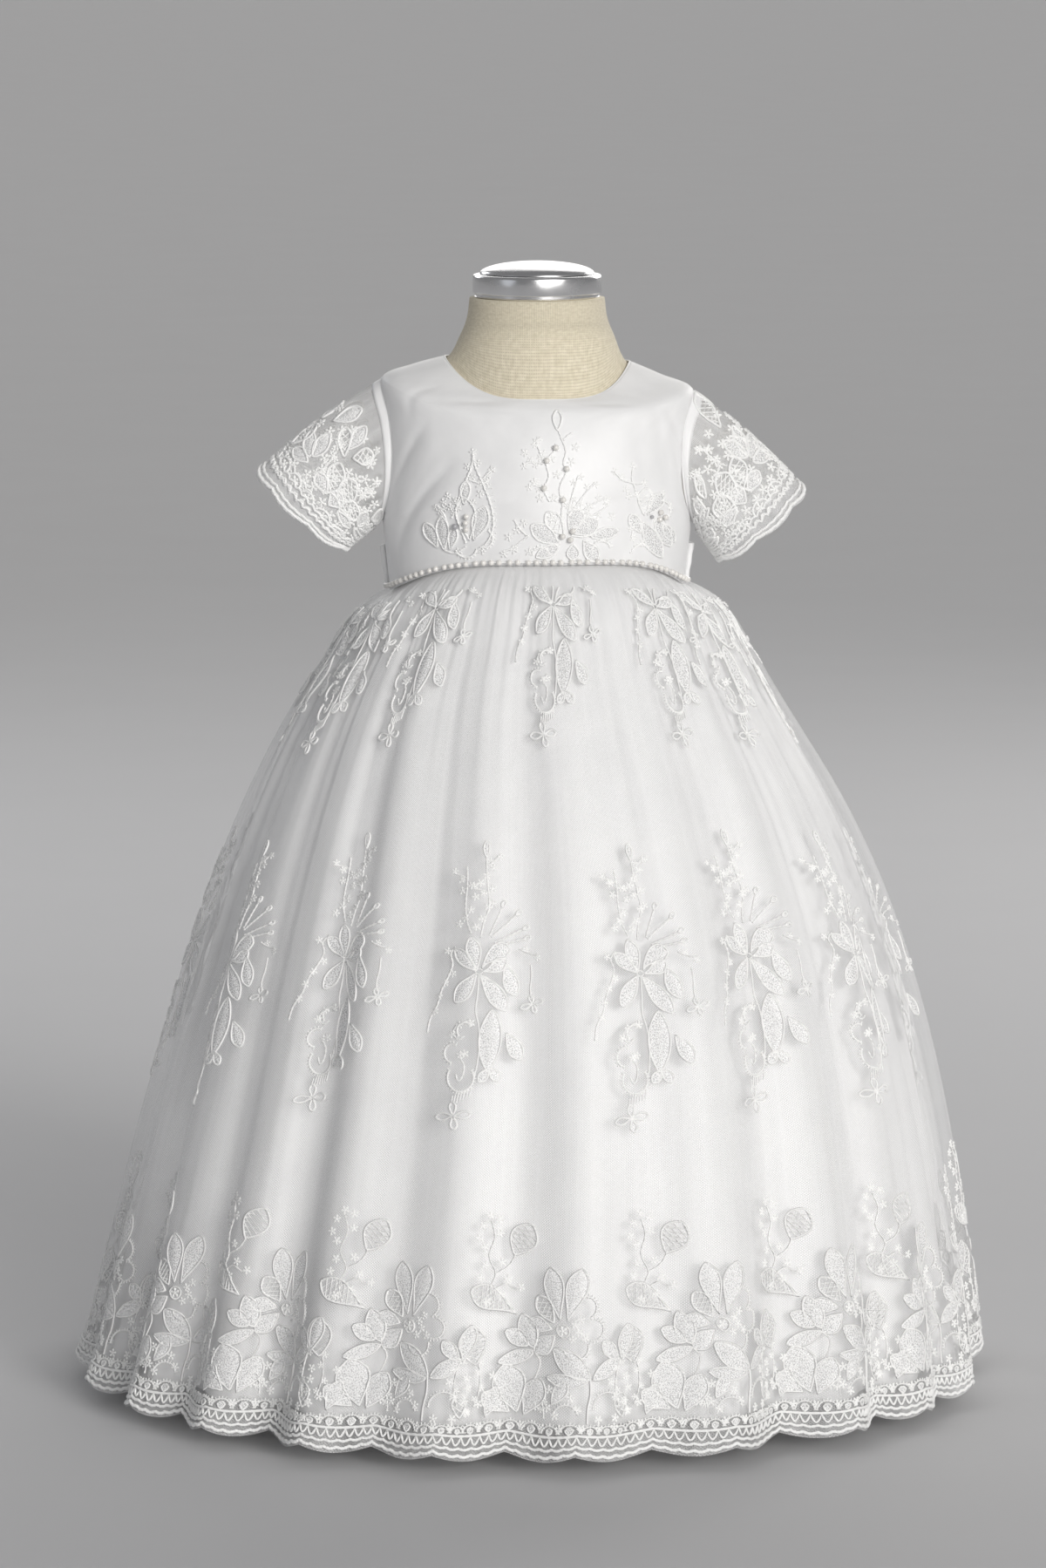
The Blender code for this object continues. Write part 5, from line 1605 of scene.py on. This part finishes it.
sleeve_drawing.read("""
hatched 0 31 128 17 11
hatched 4 32 92 18 12
hatched 8 31 54 17 11
petal -1 28 172 12 8
petal 9 28 6 12 8
petal 4 25 90 12 9
arc 4 26 6.4 0 180
veined 24 36 18 16 8 belly=.5
petal 24 38 58 17 7.6 belly=.5
veined 23 38 96 16 7.2 belly=.5
petal 23 34 -24 14 7 belly=.5
hatched 27 58 66 22 11 belly=.6
petal -21 32 112 15 8 belly=.5
veined -22 30 152 15 7.4 belly=.5
petal -20 28 196 12 7
hatched -36 24 92 17 9
petal 39 22 104 15 8
hatched -12 48 152 15 8
petal -14 52 112 15 8
hatched -9 53 70 14 8
veined -32 50 80 17 8
petal -40 44 110 14 7
twig -12 26 92 20 5 bend=30
twig -28 38 66 20 5 bend=-40
twig 12 46 104 20 5 bend=-30
twig 34 32 100 22 5
twig -4 58 80 12 3
blossoms 2.9 -32 22 -24 21 -15 24 -12 20 -9 33 15 21 17 27 28 24 33 27 43 22 -43 22 -9 38
blossoms 2.9 -16 42 -19 47 -4 47 1 51 6 50 10 54 17 48 20 54 -28 46 -25 52 4 57 13 60
blossoms 2.9 35 48 41 42 -42 36 39 55 19 33 -13 33 30 45 -22 58 -2 41 13 41 -36 32 -30 35
blossoms 2.9 -27 42 -8 23 1 22 9 21 22 21 36 37 31 52 27 49 13 35 -5 37 -17 37 -36 43
blossoms 2.9 -38 55 -30 61 -15 62 -1 63 9 66 20 63 33 62 43 50 44 31 3 37
""")
print("sleeve:", sleeve_drawing.about())

# %% Both sleeves
CUFF_SMALL = CUFF_SCALLOPS * 5  # small scallops round the cuff, five to each large one
CUFF_CORDS = (  # height, radius and bulge in mm, scallops and points round the cuff
    (2.6, 1.25, 0.5, CUFF_SMALL, 440), (6.2, 0.95, 0.5, CUFF_SMALL, 440), (10.6, 0.85, -3.4, 38, 440),
)
for name, sleeve in SLEEVES.items():
    cloth = Cloth(partial(sleeve_surface, sleeve), partial(sleeve_place, sleeve), (-220, 580), 500, 30)
    lace = Lace(f"{name}_lace")
    for turn in (90, 270):
        drawing = sleeve_drawing.moved(size=1.12, mirror=(sleeve.side > 0) != (turn == 270))
        lace.sew(drawing, cloth.lay(turn, 1.0), bold=1.25)
    for row in CUFF_CORDS:
        lace.sew_edge(cloth, 360, *row)
    lace.grow(seed=11, sides=4)

# %% [markdown]
# ## Sprays on the bodice
#
# Three sprays are cut out of the same embroidery and sewn on the satin by hand, with single
# pearls at their blossoms. They are drawn as seen from the front: x across, y up from the pearl
# strand, so a helper finds the angle and the row of the bodice under each point.

# %% Finding a place on the bodice from the front
PEARL_ROW, FIRST_GUESS, SEARCH_STEPS = 0.11, 1.5, 30
strand_height = float(bodice_base(0.0, PEARL_ROW)[2])
print("strand's height:", round(strand_height, 4), "m")


def bodice_front(points, out):
    """Places of the bodice front for flat points in mm, with y up from the strand's middle."""
    x, z = points[:, 0] * MM, strand_height + points[:, 1] * MM
    row = np.full(len(x), FIRST_GUESS)
    for _ in range(SEARCH_STEPS):  # step towards the row whose height is z
        angle = np.degrees(np.arcsin(np.clip(x / body_row("half_width", row), -0.99, 0.99)))
        row = np.clip(row + (z - bodice_base(angle, row)[:, 2]) / (ROW_MM * MM), 0.05, 7.9)
    return bodice_point(angle, row, out)

# %% The centre spray
centre_spray = Drawing().read("""
open 11.5 73 92 11 5
knobbly 11.5 74 13.4 69 16 61.7 14.6 55.6 16.2 50.6 13.6 45 12.4 40 14 33 13.6 27 15 20
knobbly 14.6 68 18 71 20.5 72
knobbly 9.6 62 5 56 6.5 48 3.8 41 6.8 34
twig 4 56 118 13 4 bend=-20
twig 3 55 168 11 3
twig 4 41 152 9 3
twig 17 27 78 22 4 bend=-10
twig 18 26 58 23 4 bend=-14
twig 20 25 36 22 4 bend=-14
twig 22 23 14 20 3
hatched 14.8 15.3 127 16 9
petal 12.3 10.2 146 19 9.5
petal 18 18 62 13 9
petal 20.5 16 26 15 9.5
petal 30 14 10 16 6.4 belly=.55
petal 26 12 302 14 8
petal 20 10 270 9 7
petal 12 9 206 14 6.4 belly=.5
stem 19 15 25 14 31 15
knobbly -5 15 -10 11 -14 8 -19 6
knobbly -6 15 -10 19 -13 24
arc 36 6 5.4 20 200
arc 2 3.5 5 10 170
blossoms 2.6 10.3 63.5 5.3 56.5 16.3 52 3.8 41.5 14.3 35 -.5 67 -7 61 8 58 19 56 11 49 -1.5 45
blossoms 2.6 1.5 36 9 36 21.5 64 -11.5 18 -7.5 22 -16 14 -13 7 -18.5 4.5 42 25 29 31 -4.5 6
blossoms 2.6 28 21 8 25
beads 1.7 10.3 63.5 5.3 56.5 16.3 52 3.8 41.5 14.3 35 14 14.6 18.4 12.6 19.6 17.4
""")
print("centre:", centre_spray.about())

# %% The left spray
left_spray = Drawing().read("""
rope -36 60 -36.5 54 -39 47 -42 40 -44.5 33 -45.5 26 -43 18 -40 10
rope -36 60 -35 54 -32 47 -28.5 39 -25.5 30 -24.6 20 -28 11 -34 6
""")
for y in (12 + 3.6 * step for step in range(9)):  # stitches across the long stem
    x = -24.4 - 0.0056 * (y - 21) ** 2
    left_spray.cord([(x - 1.4, y), (x + 1.6, y + 0.7)], VEIN)
left_spray.read("""
open -38 12 98 24 11
petal -35.5 12 72 20 9
petal -41 32 84 13 5.4
knobbly -38 46 -33 44 -30 47 -26 51
twig -34 42 22 9 3
veined -56 6.7 117 15 7
petal -52.4 5.5 94 19 7
petal -49 6 78 13 5
stem -52 5 -46 4 -40 8
twig -51 22 108 10 3
twig -48 24 60 10 3
arc -40 8 6.2 200 350 1.8
arc -30 13 5.2 -110 60 1.8
blossoms 2.5 -36 61 -33.5 55 -39 53 -25.5 51.5 -29.5 45.5 -36.5 47 -54.8 27.5 -49 30 -52.5 32.5
blossoms 2.5 -46 34 -40.5 40 -32 38 -36 33 -44 5 -31 6 -50 36 -34 24
dark_beads 1.8 -45.6 19.2
beads 1.6 -39.6 17.7 -39.9 21.4 -39.4 25
""")
print("left:", left_spray.about())

# %% The right spray, and all three sewn on
right_spray = Drawing().read("""
knobbly 43 50 48 45 53.5 43 55.5 38 59 32
knobbly 53.8 52 53 47 53.5 43
knobbly 53.5 43 57 42.5 60 43
hatched 60 25 84 15 8.6
petal 62 25 52 14 8
petal 58 15 118 12 6.4
veined 59 21 298 24 8.6 belly=.55
petal 66 22 300 19 7 belly=.55
petal 71 19 300 13 5.6 belly=.55
arc 69 26 6.2 -60 90 1.8
arc 58 3 5 20 170 1.8
twig 57 24 238 12 3
blossoms 2.4 43.5 50 53.8 52.5 60.5 43 47.5 46.5 50 40 56 36.5 51.5 36 71 36 75 28 54 12 59 9
blossoms 2.4 75.5 14 53 21 66.5 34
beads 1.6 69.1 25.6 68.4 21.6 71.6 22.6
dark_beads 1.1 64.2 23.4
""")
for label, drawing in (("centre", centre_spray), ("left", left_spray), ("right", right_spray)):
    Lace(f"bodice_spray_{label}").sew(drawing, bodice_front).grow(f"applique_{label}", seed=13)

# %% [markdown]
# ## The pearl strand
#
# Round the front of the waist seam runs a strand of small pearls on a thin cord. They sit in groups
# of two to five with a wider step between the groups. The places along the strand come from its
# real length on the bodice, and the scatter tree sets a pearl on each.

# %% Pearls along the waist seam
PEARL_RADIUS, STRING_RADIUS = 1.65 * MM, 0.3 * MM
STRAND_ANGLE, STRAND_POINTS, STRING_STRIDE = 88.0, 600, 6
FIRST_PEARL, PEARL_STEP, GROUP_STEP, STRAND_REST = 1.6 * MM, 4.6 * MM, 6 * MM, 1 * MM
GROUPS = (3, 4, 4, 2, 4, 4, 2, 5, 3)

angles = np.linspace(-STRAND_ANGLE, STRAND_ANGLE, STRAND_POINTS)
line = bodice_point(angles, PEARL_ROW, PEARL_RADIUS + SEAM)
run = running_length(line)
steps = [step for size in GROUPS for step in [PEARL_STEP] * (size - 1) + [GROUP_STEP]]
at = FIRST_PEARL + np.concatenate([[0], np.cumsum(np.tile(steps, 2))])
at = at[at < run[-1] - STRAND_REST]
feet = np.stack([np.interp(at, run, line[:, k]) for k in range(3)], -1)
normals = bodice_normal(np.interp(at, run, angles), PEARL_ROW)
pearls = scattered("pearls", feet, normals, np.full(len(at), PEARL_RADIUS), pearl_shape, pearl)
string = corded("string", [line[::STRING_STRIDE]], [STRING_RADIUS], 6, thread)
finished(joined("pearl_string", [pearls, string]), "pearl", "pearl_strand")
print(len(at), "pearls")

# %% [markdown]
# ## Edges of the bodice
#
# The neckline and the armholes are turned edges. A thin rounded cord of the same satin along each
# of them gives the small highlight that a folded edge has.

# %% Rolled edges
EDGE_SUNK, NECK_ROLL, ARMHOLE_ROLL = -0.45 * MM, 0.62 * MM, 0.55 * MM
trim_satin = make_satin("trim_satin", None, None)
neck_line = bodice_point(np.linspace(-179.6, 179.6, 300), NECK_ROW - 0.02, EDGE_SUNK)
finished(corded("neck_edge", [neck_line], [NECK_ROLL], 8, trim_satin), "satin")
for name, sleeve in SLEEVES.items():
    line = armhole_point(sleeve.side, np.linspace(0, 360, 181), EDGE_SUNK)
    finished(corded(f"{name}_armhole_edge", [line], [ARMHOLE_ROLL], 8, trim_satin), "satin")

# %% [markdown]
# ## Back opening: placket and buttons
#
# The gown closes at the back with a strip of satin over the opening and four pearl buttons. The
# strip follows the bodice on two edges, with a row of small stitches along each. A button is a
# low dome with a rounded rim, turned about its own axis and then set on the strip.

# %% Placket and stitches
PLACKET_HALF_WIDTH, PLACKET_OUT, PLACKET_ROLL = 7 * MM, SEAM + CLOTH, 0.5 * MM
PLACKET_ROWS = np.linspace(1.4, 7.92, 60)
STITCH_SPACING, STITCH_LENGTH, STITCH_RADIUS = 3.2 * MM, 2.2 * MM, 0.2 * MM


def placket_edge(side, share=1.0):
    """The angle of a line along the placket, at a share of its half width on one side."""
    return lambda row: 180 + side * np.degrees(PLACKET_HALF_WIDTH / body_row("back", row)) * share


def placket_out(angle, row):
    share = np.abs(np.abs(angle) - 180) / (placket_edge(1)(row) - 180)
    return PLACKET_OUT - PLACKET_ROLL * np.clip((share - 0.8) / 0.2, 0, 1) ** 2


def stitch_rows(name, lines):
    """Rows of small stitches along lines of points."""
    sizes = {"Spacing": STITCH_SPACING, "Length": STITCH_LENGTH, "Radius": STITCH_RADIUS}
    piece = line_piece(name, lines, [STITCH_RADIUS] * len(lines))
    finished(grown(piece, stitches_on_path, **sizes, Material=thread), "lace")


placket_satin = make_satin("placket_satin", 0.014, 0.11)
edges = placket_edge(-1), placket_edge(1)
placket = make_panel("back_placket", "placket", *edges, 16, placket_satin, PLACKET_ROWS, placket_out)
stitch_rows("placket_stitches", [
    bodice_point(placket_edge(side, 0.76)(PLACKET_ROWS), PLACKET_ROWS, PLACKET_OUT + 0.06 * MM)
    for side in (-1, 1)
])

# %% Buttons
BUTTON_ROWS, BUTTON_STEPS = (2.1, 3.6, 5.0, 7.0), 32
BUTTON_PROFILE = (
    (0, 3.4), (1.2, 3.34), (2.2, 3.1), (3.0, 2.65), (3.6, 2.05), (3.95, 1.5), (4.15, 1.0), (4.2, 0.7),
    (4.05, 0.4), (3.6, 0.2), (2.6, 0.05), (0, 0),
)
button_pearl = make_pearl("button_pearl", (0.90, 0.885, 0.86), 0.24)

for number, row in enumerate(BUTTON_ROWS, 1):
    normal = bodice_normal(180.0, row)
    foot = bodice_point(180.0, row, PLACKET_OUT + SEAM)
    side = np.cross(normal, (0, 0, 1))
    side /= np.linalg.norm(side)
    up = np.cross(side, normal)
    points, rings = [], []
    for radius, height in BUTTON_PROFILE:
        count = BUTTON_STEPS if radius else 1
        rings.append(len(points) + np.arange(BUTTON_STEPS) % count)
        for c, s in ways(np.arange(count) * 360 / BUTTON_STEPS):
            points.append(foot + (normal * height + (side * c + up * s) * radius) * MM)
    faces = []
    for upper, lower in zip(rings, rings[1:]):
        for j in range(BUTTON_STEPS):
            k = (j + 1) % BUTTON_STEPS
            faces.append(list(dict.fromkeys((upper[j], upper[k], lower[k], lower[j]))))
    mesh = new_mesh(f"pearl_button_{number}", points, faces=faces)
    bm = bmesh.new()
    bm.from_mesh(mesh)
    bmesh.ops.recalc_face_normals(bm, faces=bm.faces)
    bm.to_mesh(mesh)
    bm.free()
    mesh.shade_smooth()
    finished(link(mesh.name, mesh, button_pearl), "pearl", f"button_{number}")

# %% [markdown]
# ## Ties and bow
#
# Two satin ties run from the side seams round the back of the waist to a bow at the centre back,
# with soft lengthwise folds that draw together there. A loop is a band that leaves the knot, opens,
# turns and comes back, and a tail is a band that hangs over the skirt with a slanting end. The knot
# is wrapped satin: a rounded block with pleats across it.

# %% The ties round the waist
TIE_FIRST_ROW, TIE_LAST_ROW, TIE_START, TIE_END = 0.06, 1.25, 90.6, 175.5
TIE_STAND_OFF, TIE_SETTLED = 1.6 * MM, 108.0
TIE_SEAM = 1.0  # degrees in which the tie comes out of the side seam
TIE_FOLDS = 0.55 * MM
SIDES = ((1, "left"), (-1, "right"))


def tie_out(angle, row):
    loose = np.clip((TIE_SETTLED - np.abs(angle)) / (TIE_SETTLED - TIE_START), 0, 1)
    toward_bow = (np.abs(angle) - TIE_START) / (TIE_END - TIE_START)
    across = (row - TIE_FIRST_ROW) / (TIE_LAST_ROW - TIE_FIRST_ROW)
    fold = np.sin(2 * np.pi * (2.4 * across + 0.12 * np.sin(5 * toward_bow + angle / 57.3)))
    sewn = np.clip((np.abs(angle) - TIE_START) / TIE_SEAM, 0, 1) ** 0.6
    stand_off = TIE_STAND_OFF * (0.8 + 0.6 * across) * loose**2
    return sewn * (CLOTH + SEAM + stand_off + TIE_FOLDS * (0.25 + 0.75 * toward_bow) * fold)


tie_satin = make_satin("tie_satin", 0.13, 0.025)
tie_rows = np.linspace(TIE_FIRST_ROW, TIE_LAST_ROW, 20)
for side, label in SIDES:
    edges = map(seam_at, sorted((side * TIE_START, side * TIE_END)))
    tie = make_panel(f"waist_tie_{label}", f"tie_{label}", *edges, 170, tie_satin, tie_rows, tie_out)
    back = f"satin_back_{label}"

# %% The knot
KNOT_SIZE = np.array((18.0, 12.0, 21.0)) * MM
KNOT_AROUND, KNOT_ROWS, KNOT_POLE, KNOT_FILL = 56, 30, 0.02, 0.985
tie_face = bodice_base(180.0, 0.5) + bodice_normal(180.0, 0.5) * (CLOTH + SEAM)
knot_centre = tie_face + np.array((0, SEAM + KNOT_SIZE[1] / 2, 0))
bow_satin = make_satin("bow_satin", 0.05, 0.034)


def rounded(value, power):
    return np.sign(value) * np.abs(value) ** power


# A rounded block whose front is drawn into three soft pleats.
turn = 2 * np.pi * np.arange(KNOT_AROUND)[None, :] / KNOT_AROUND
lift = np.linspace(-np.pi / 2 + KNOT_POLE, np.pi / 2 - KNOT_POLE, KNOT_ROWS)[:, None]
x = rounded(np.cos(lift), 0.45) * rounded(np.cos(turn), 0.55)
y = rounded(np.cos(lift), 0.45) * rounded(np.sin(turn), 0.55)
z = rounded(np.sin(lift), 0.55) + 0 * turn
pleat = 1 - 0.055 * (1 + np.cos(3 * np.pi * x + 0.8 * z))
points = np.stack([x, y * pleat, z], -1) * KNOT_SIZE / 2 * KNOT_FILL + knot_centre
piece = cloth_piece("tied_knot", points, bow_satin, closed=True, away=lambda p: p - knot_centre)
close_ends(piece.data, points)
finished(piece, "satin", "bow_knot")

# %% The loops
LOOP_LENGTH, LOOP_SWELL_IN, LOOP_SWELL_OUT = 52 * MM, 2 * MM, 9 * MM
LOOP_LEAN, LOOP_DROOP, LOOP_PLEAT = 15 * MM, 3 * MM, 1.1 * MM
LOOP_ROOT_HALF, LOOP_HALF = 6.5 * MM, 16.5 * MM
LOOP_FULL, LOOP_SLIT = 0.75, 0.045


def loop_points(side, share, across):
    """Points of a loop: share runs from root to root, across from -1 to 1."""
    turn = 2 * np.pi * (LOOP_SLIT + (1 - 2 * LOOP_SLIT) * share)
    away = (1 - np.cos(turn)) / 2
    opened = np.sin(np.pi / 2 * np.minimum(1, away / LOOP_FULL))
    half = LOOP_ROOT_HALF + (LOOP_HALF - LOOP_ROOT_HALF) * opened
    x = side * (KNOT_SIZE[0] / 2 + SEAM + LOOP_LENGTH * away)
    swell = np.where(turn < np.pi, LOOP_SWELL_IN, LOOP_SWELL_OUT)
    pleat = (1 - 0.75 * away) * np.cos(3.5 * np.pi * across + 0.6 * side) * np.minimum(1, away * 6)
    pleat = LOOP_PLEAT * pleat * np.where(turn < np.pi, 0.2, 1.0)
    y = knot_centre[1] + LOOP_LEAN * away**2 - swell * np.sin(turn) + pleat
    z = knot_centre[2] - LOOP_DROOP * away**2 + half * across
    return np.stack(np.broadcast_arrays(x, y, z), -1)


for side, label in SIDES:
    points = loop_points(side, np.linspace(0, 1, 72)[None, :], np.linspace(-1, 1, 22)[:, None])
    middle = points.reshape(-1, 3).mean(axis=0)
    name, away = f"ribbon_loop_{label}", lambda p: from_axis(p - middle)
    loop = cloth_piece(name, points, bow_satin, SATIN_WALL, away=away)
    finished(loop, "satin", f"bow_loop_{label}")

# %% The tails
TAIL_TOP, TAIL_END = 0.009, 0.41
TAIL_HALF_WIDTH, TAIL_PINCH, TAIL_FULL = 12 * MM, 0.38, 0.35
TAIL_ANGLES = {"left": (4.5, 14.0), "right": (-4.5, -11.0)}
TAIL_STAND_OFF, TAIL_SLANT, TAIL_FOLD, TAIL_STEPS = 0.7 * MM, 0.018, 0.5 * MM, (1.0, 0.004)
STITCH_SHARE, STITCH_LIFT = 0.86, 0.1 * MM
tail_satin = make_satin("tail_satin", 0.024, 0.2)
share, across = np.linspace(0, 1, 90)[:, None], np.linspace(-1, 1, 17)[None, :]
drop = TAIL_TOP + (TAIL_END - TAIL_TOP) * share
half = TAIL_HALF_WIDTH * (TAIL_PINCH + (1 - TAIL_PINCH) * np.minimum(1.0, share / TAIL_FULL))
depth = np.abs(outline_at(np.full_like(drop, 180.0), drop)[..., 1])
low = drop + TAIL_SLANT * across * np.clip((share - 0.8) / 0.2, 0, 1)
fold = np.cos(1.5 * np.pi * across + 3 * share) * (1 - 0.7 * np.minimum(1, share / 0.5))
out = TAIL_STAND_OFF + CLOTH + TAIL_FOLD * (1 + fold) * np.minimum(1, share / 0.05)
for label, (top_angle, end_angle) in TAIL_ANGLES.items():
    angle = 180 + top_angle + (end_angle - top_angle) * share + np.degrees(half / depth) * across
    points = moved_out(outline_at, angle, low, out, TAIL_STEPS)
    tail = cloth_piece(f"ribbon_tail_{label}", points, tail_satin, SATIN_WALL, away=from_axis)
    finished(tail, "satin", f"tie_tail_{label}")
    rows = (points[:, i] * STITCH_SHARE + points[:, 8] * (1 - STITCH_SHARE) for i in (1, -2))
    stitch_rows(f"tail_{label}_stitches", [line[4:-3] + (0, STITCH_LIFT, 0) for line in rows])

for shape in (blossom_shape, pearl_shape):
    bpy.data.objects.remove(shape)

# %% [markdown]
# ## Floor and light
#
# White cloth needs a ground that is darker than itself, and light that comes from one side, or
# its folds disappear. The floor is a plain pale grey. Most of the light comes from four very wide
# suns, which light cloth and floor evenly: a key at the right front, two soft skies beside it, and
# one behind for the back. A weak cool lamp fills the left side, two lamps behind lift the edges of
# the net, and the air adds a little light from everywhere.

# %% Floor, lights and air
FLOOR_RADIUS, FLOOR_CORNERS = 80.0, 64
CENTRE, SUN_COLOUR = Vector((0.0, 0.0, 0.35)), (1.0, 0.985, 0.96)
material, tree, shader = new_material("floor_paper", (0.60, 0.60, 0.61), 0.9)
grain = noise(tree, object_place(tree), 6.0, 4.0)
feed(tree, shader, Base_Color=blend(tree, grain, (0.59, 0.59, 0.60), (0.61, 0.61, 0.62)))
ring = [(*place, 0.0) for place in FLOOR_RADIUS * ways(np.arange(FLOOR_CORNERS) * 360 / FLOOR_CORNERS)]
floor = link("floor", new_mesh("floor", ring, faces=[range(FLOOR_CORNERS)]), material)

for name, place, size, power, colour in (
    ("fill", (-2.6, -1.9, 1.2), 1.6, 3.0, (0.88, 0.92, 1.0)),
    ("rim_left", (-1.8, 2.3, 1.6), 1.2, 10.0, (0.95, 0.97, 1.0)),
    ("rim_right", (1.8, 2.3, 1.4), 1.2, 16.0, (1.0, 0.98, 0.96)),
):
    lamp = bpy.data.lights.new(name, "AREA")
    lamp.shape, lamp.size, lamp.energy, lamp.color = "DISK", size, power, colour
    stand_at(name, lamp, place, CENTRE - Vector(place))

for name, place, strength, width in (
    ("key", (2.6, -4.4, 1.55), 1.12, 16),
    ("sky", (1.1, -2.3, 0.8), 0.8, 50),
    ("low_sky", (0.7, -2.4, 0.5), 0.62, 26),
    ("back_sky", (0.3, 2.3, 0.9), 0.75, 50),
):
    sun = bpy.data.lights.new(name, "SUN")
    sun.energy, sun.angle, sun.color = strength, math.radians(width), SUN_COLOUR
    stand_at(name, sun, (0, 0, 0), -Vector(place))

world = bpy.data.worlds.new("studio")
bpy.context.scene.world = world
world.use_nodes = True
air = world.node_tree.nodes["Background"].inputs
feed(world.node_tree, air, Color=(0.91, 0.91, 0.92, 1.0), Strength=0.22)
bpy.context.scene.view_settings.view_transform = "Standard"
print("lights:", [light.name for light in bpy.data.lights])
